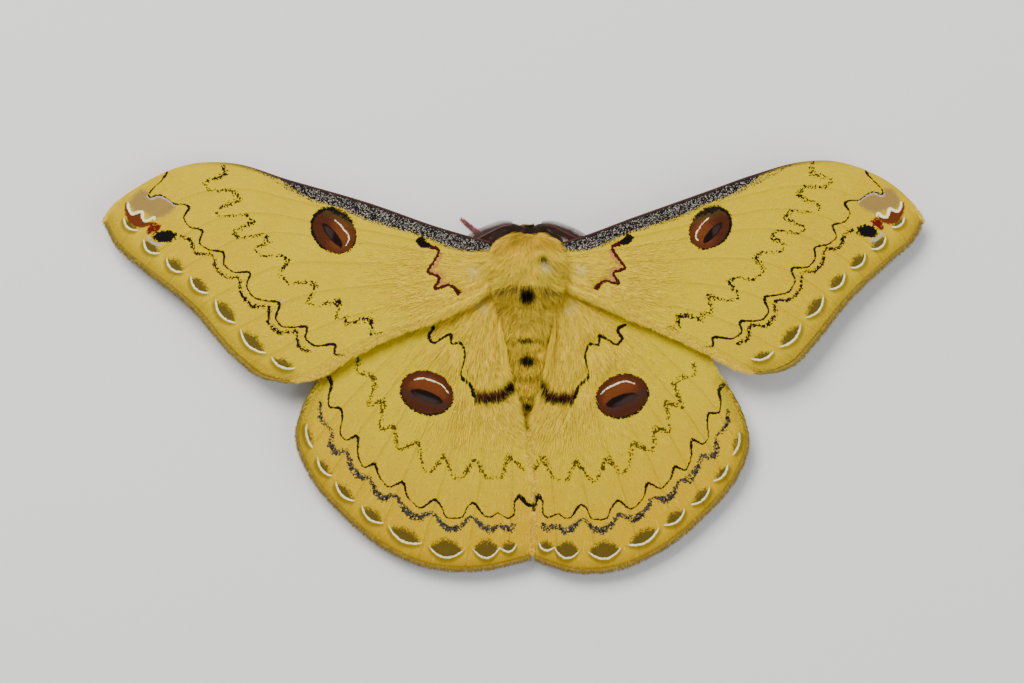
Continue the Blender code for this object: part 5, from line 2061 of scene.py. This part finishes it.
@dataclass
class Leg:
    """One leg: thigh, shin and a jointed foot with two claws."""

    place: str
    side: Side
    root_y: float
    outer: Points
    radii: Point = (0.00050, 0.00048, 0.00040, 0.00030, 0.00022)
    root_angle: float = math.radians(-35.0)
    foot_rings: int = 14
    ring_depth: float = 0.18
    claw_length: float = 0.0004
    claw_spread: float = 0.00022
    claw_height: float = 0.00006
    claw_radii: Point = (0.00007, 0.00002)
    hairs: int = 1100
    hair_length: float = 0.0006
    hair_width: float = 0.00008

    def middle_line(self) -> Array:
        """The middle line from inside the thorax to the foot's tip."""
        half = LAY.thorax_half
        size = math.sqrt(1.0 - ((self.root_y - LAY.thorax_y) / half[1]) ** 2)
        x = half[0] * size * math.cos(self.root_angle)
        z = LAY.thorax_z + half[2] * size * math.sin(self.root_angle)
        anchors = [(x - 0.0004, self.root_y, z + 0.0002), (x + 0.0006, self.root_y, z - 0.0002)]
        for k, (px, py, pz) in enumerate(self.outer):
            anchors.append((px, py, pz if pz > 0 else self.radii[k + 1] - 0.00002))
        return smooth_curve(anchors, 70) * np.array((self.side.value, 1.0, 1.0))

    def build(self, horn: Material, seed: int) -> None:
        """Make the leg.

        Args:
            horn: finish of its bare parts.
            seed: number of its random draws.
        """
        line = self.middle_line()
        shares = np.linspace(0.0, 1.0, len(line))
        radii = np.interp(shares, np.linspace(0.0, 1.0, len(self.radii)), self.radii)
        foot = ease(0.6, 0.66, shares)
        wave = 1.0 + np.cos(shares * 2 * math.pi * self.foot_rings)
        radii = radii * (1.0 - self.ring_depth * foot * wave / 2)
        line[:, 2] = np.maximum(line[:, 2], radii)
        parts = [tube(line, radii, 14)]
        tip, ahead = line[-1], unit(line[-1] - line[-4])
        beside, bend = np.cross(ahead, UP), np.linspace(0.0, 1.0, 7)[:, None]
        for edge in (-1, 1):
            claw = tip + ahead * self.claw_length * bend + edge * beside * self.claw_spread * bend
            claw = claw - UP * (tip[2] - self.claw_height) * bend**2
            parts.append(tube(claw, np.linspace(*self.claw_radii, len(bend)), 6))
        points, faces = joined(parts)
        name = f"leg_{self.place}_{self.side.word()}"
        Piece(name + "_horn", points, faces).make(horn, "leg", [name])
        colours = {"pink": 0.85, "gold": 0.5}
        coat = strand_coat(line, radii, self.hairs, self.hair_length, self.hair_width, colours, seed)
        coat.name = name + "_hair"
        coat.make(COAT, "leg")


FRONT_REACHING = (
    (0.0039, 0.0021, 0.00255), (0.0053, 0.0035, 0.00135), (0.0064, 0.0046, 0.0), (0.0079, 0.0059, 0.0),
)
FRONT_TUCKED = (
    (0.0041, 0.0018, 0.00255), (0.0057, 0.0023, 0.00135), (0.0068, 0.0023, 0.0), (0.0086, 0.0022, 0.0),
)
MIDDLE_LEG = (
    (0.0046, -0.0010, 0.00245), (0.0068, -0.0014, 0.0013), (0.0082, -0.0017, 0.0), (0.0099, -0.0020, 0.0),
)
REAR_LEG = (
    (0.0040, -0.0044, 0.0026), (0.0058, -0.0068, 0.00135), (0.0069, -0.0082, 0.0), (0.0080, -0.0097, 0.0),
)
LEGS = (
    Leg("front", Side.LEFT, 0.0013, FRONT_REACHING), Leg("front", Side.RIGHT, 0.0013, FRONT_TUCKED),
    Leg("middle", Side.LEFT, -0.0008, MIDDLE_LEG), Leg("middle", Side.RIGHT, -0.0008, MIDDLE_LEG),
    Leg("rear", Side.LEFT, -0.0028, REAR_LEG), Leg("rear", Side.RIGHT, -0.0028, REAR_LEG),
)


@dataclass
class Studio:
    """Pale floor, soft lights and the camera."""

    floor_size: float = 3.0
    floor: Colour = (0.72, 0.72, 0.71)
    sky: Colour = (0.93, 0.95, 1.0)
    sky_strength: float = 0.45

    def point(self, made: bpy.types.Object, place: Array, way: Array) -> None:
        """Put a light or the camera at a place, looking along a way."""
        made.location = Vector(place + ORIGIN)
        made.rotation_mode = "QUATERNION"
        made.rotation_quaternion = Vector(way).to_track_quat("-Z", "Y")

    def lamp(self, name: str, place: Point, size: float, power: float, tint: Colour) -> None:
        """A square soft light aimed at the moth.

        Args:
            name: its name.
            place: where it hangs, in the moth's own frame.
            size: the length of its side.
            power: its power in watts.
            tint: its colour.
        """
        light = bpy.data.lights.new(name, "AREA")
        light.size, light.energy, light.color = size, power, tint
        made = add_object(name, light)
        self.point(made, np.array(place), np.array(PHOTO.aim) - np.array(place))

    def build(self) -> None:
        """Make the floor, lights and camera."""
        half = self.floor_size / 2
        mesh = bpy.data.meshes.new("floor")
        corners = [(-half, -half, 0), (half, -half, 0), (half, half, 0), (-half, half, 0)]
        mesh.from_pydata(corners, [], [(0, 1, 2, 3)])
        floor = add_object("floor", mesh)
        mesh.materials.append(Shader("floor_paper", roughness=0.9).finish(self.floor))
        world = bpy.data.worlds.new("studio")
        world.use_nodes = True
        light = world.node_tree.nodes["Background"]
        light.inputs[0].default_value = (*self.sky, 1.0)
        light.inputs[1].default_value = self.sky_strength
        bpy.context.scene.world = world
        self.lamp("key", (-0.20, 0.30, 0.50), 0.35, 6.0, (1.0, 0.98, 0.94))
        self.lamp("fill", (0.45, -0.25, 0.45), 0.5, 2.2, (0.95, 0.97, 1.0))
        lens = bpy.data.cameras.new("photo_camera")
        lens.lens, lens.sensor_width, lens.clip_start = PHOTO.lens, PHOTO.sensor, 0.01
        camera = add_object("photo_camera", lens)
        towards = PHOTO.towards()
        self.point(camera, np.array(PHOTO.aim) + PHOTO.distance * towards, -towards)
        bpy.context.scene.camera = camera


def moth_origin() -> Array:
    """Where the moth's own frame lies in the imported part, read from its two eyes."""
    corners = [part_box("eye_" + side.word()) for side in Side]
    middle = sum((np.array(low) + np.array(high)) / 2 for low, high in corners) / 2
    return np.array((middle[0], middle[1] - Eye(Side.LEFT).centre[1], 0.0))


ORIGIN = moth_origin()
COAT = Coat().build()


def main() -> None:
    """Build every piece in order."""
    logging.basicConfig(level=logging.INFO, format="%(name)s %(message)s")
    scales = WingScales().build()
    for number, (pair, side) in enumerate(MARGINS):
        wing = Wing(pair, side)
        wing.build(scales)
        WingPile(wing, number).build()
    Body().build()
    eye = Glossy().build()
    feeler = Horny("feeler_horn", linear(62, 32, 18)).build()
    horn = Horny("leg_horn", linear(120, 66, 72)).build()
    for side in Side:
        Eye(side).build(eye)
        Antenna(side).build(feeler)
    for number, leg in enumerate(LEGS):
        leg.build(horn, 20 + number)
    Studio().build()


if __name__ == "__main__":
    main()
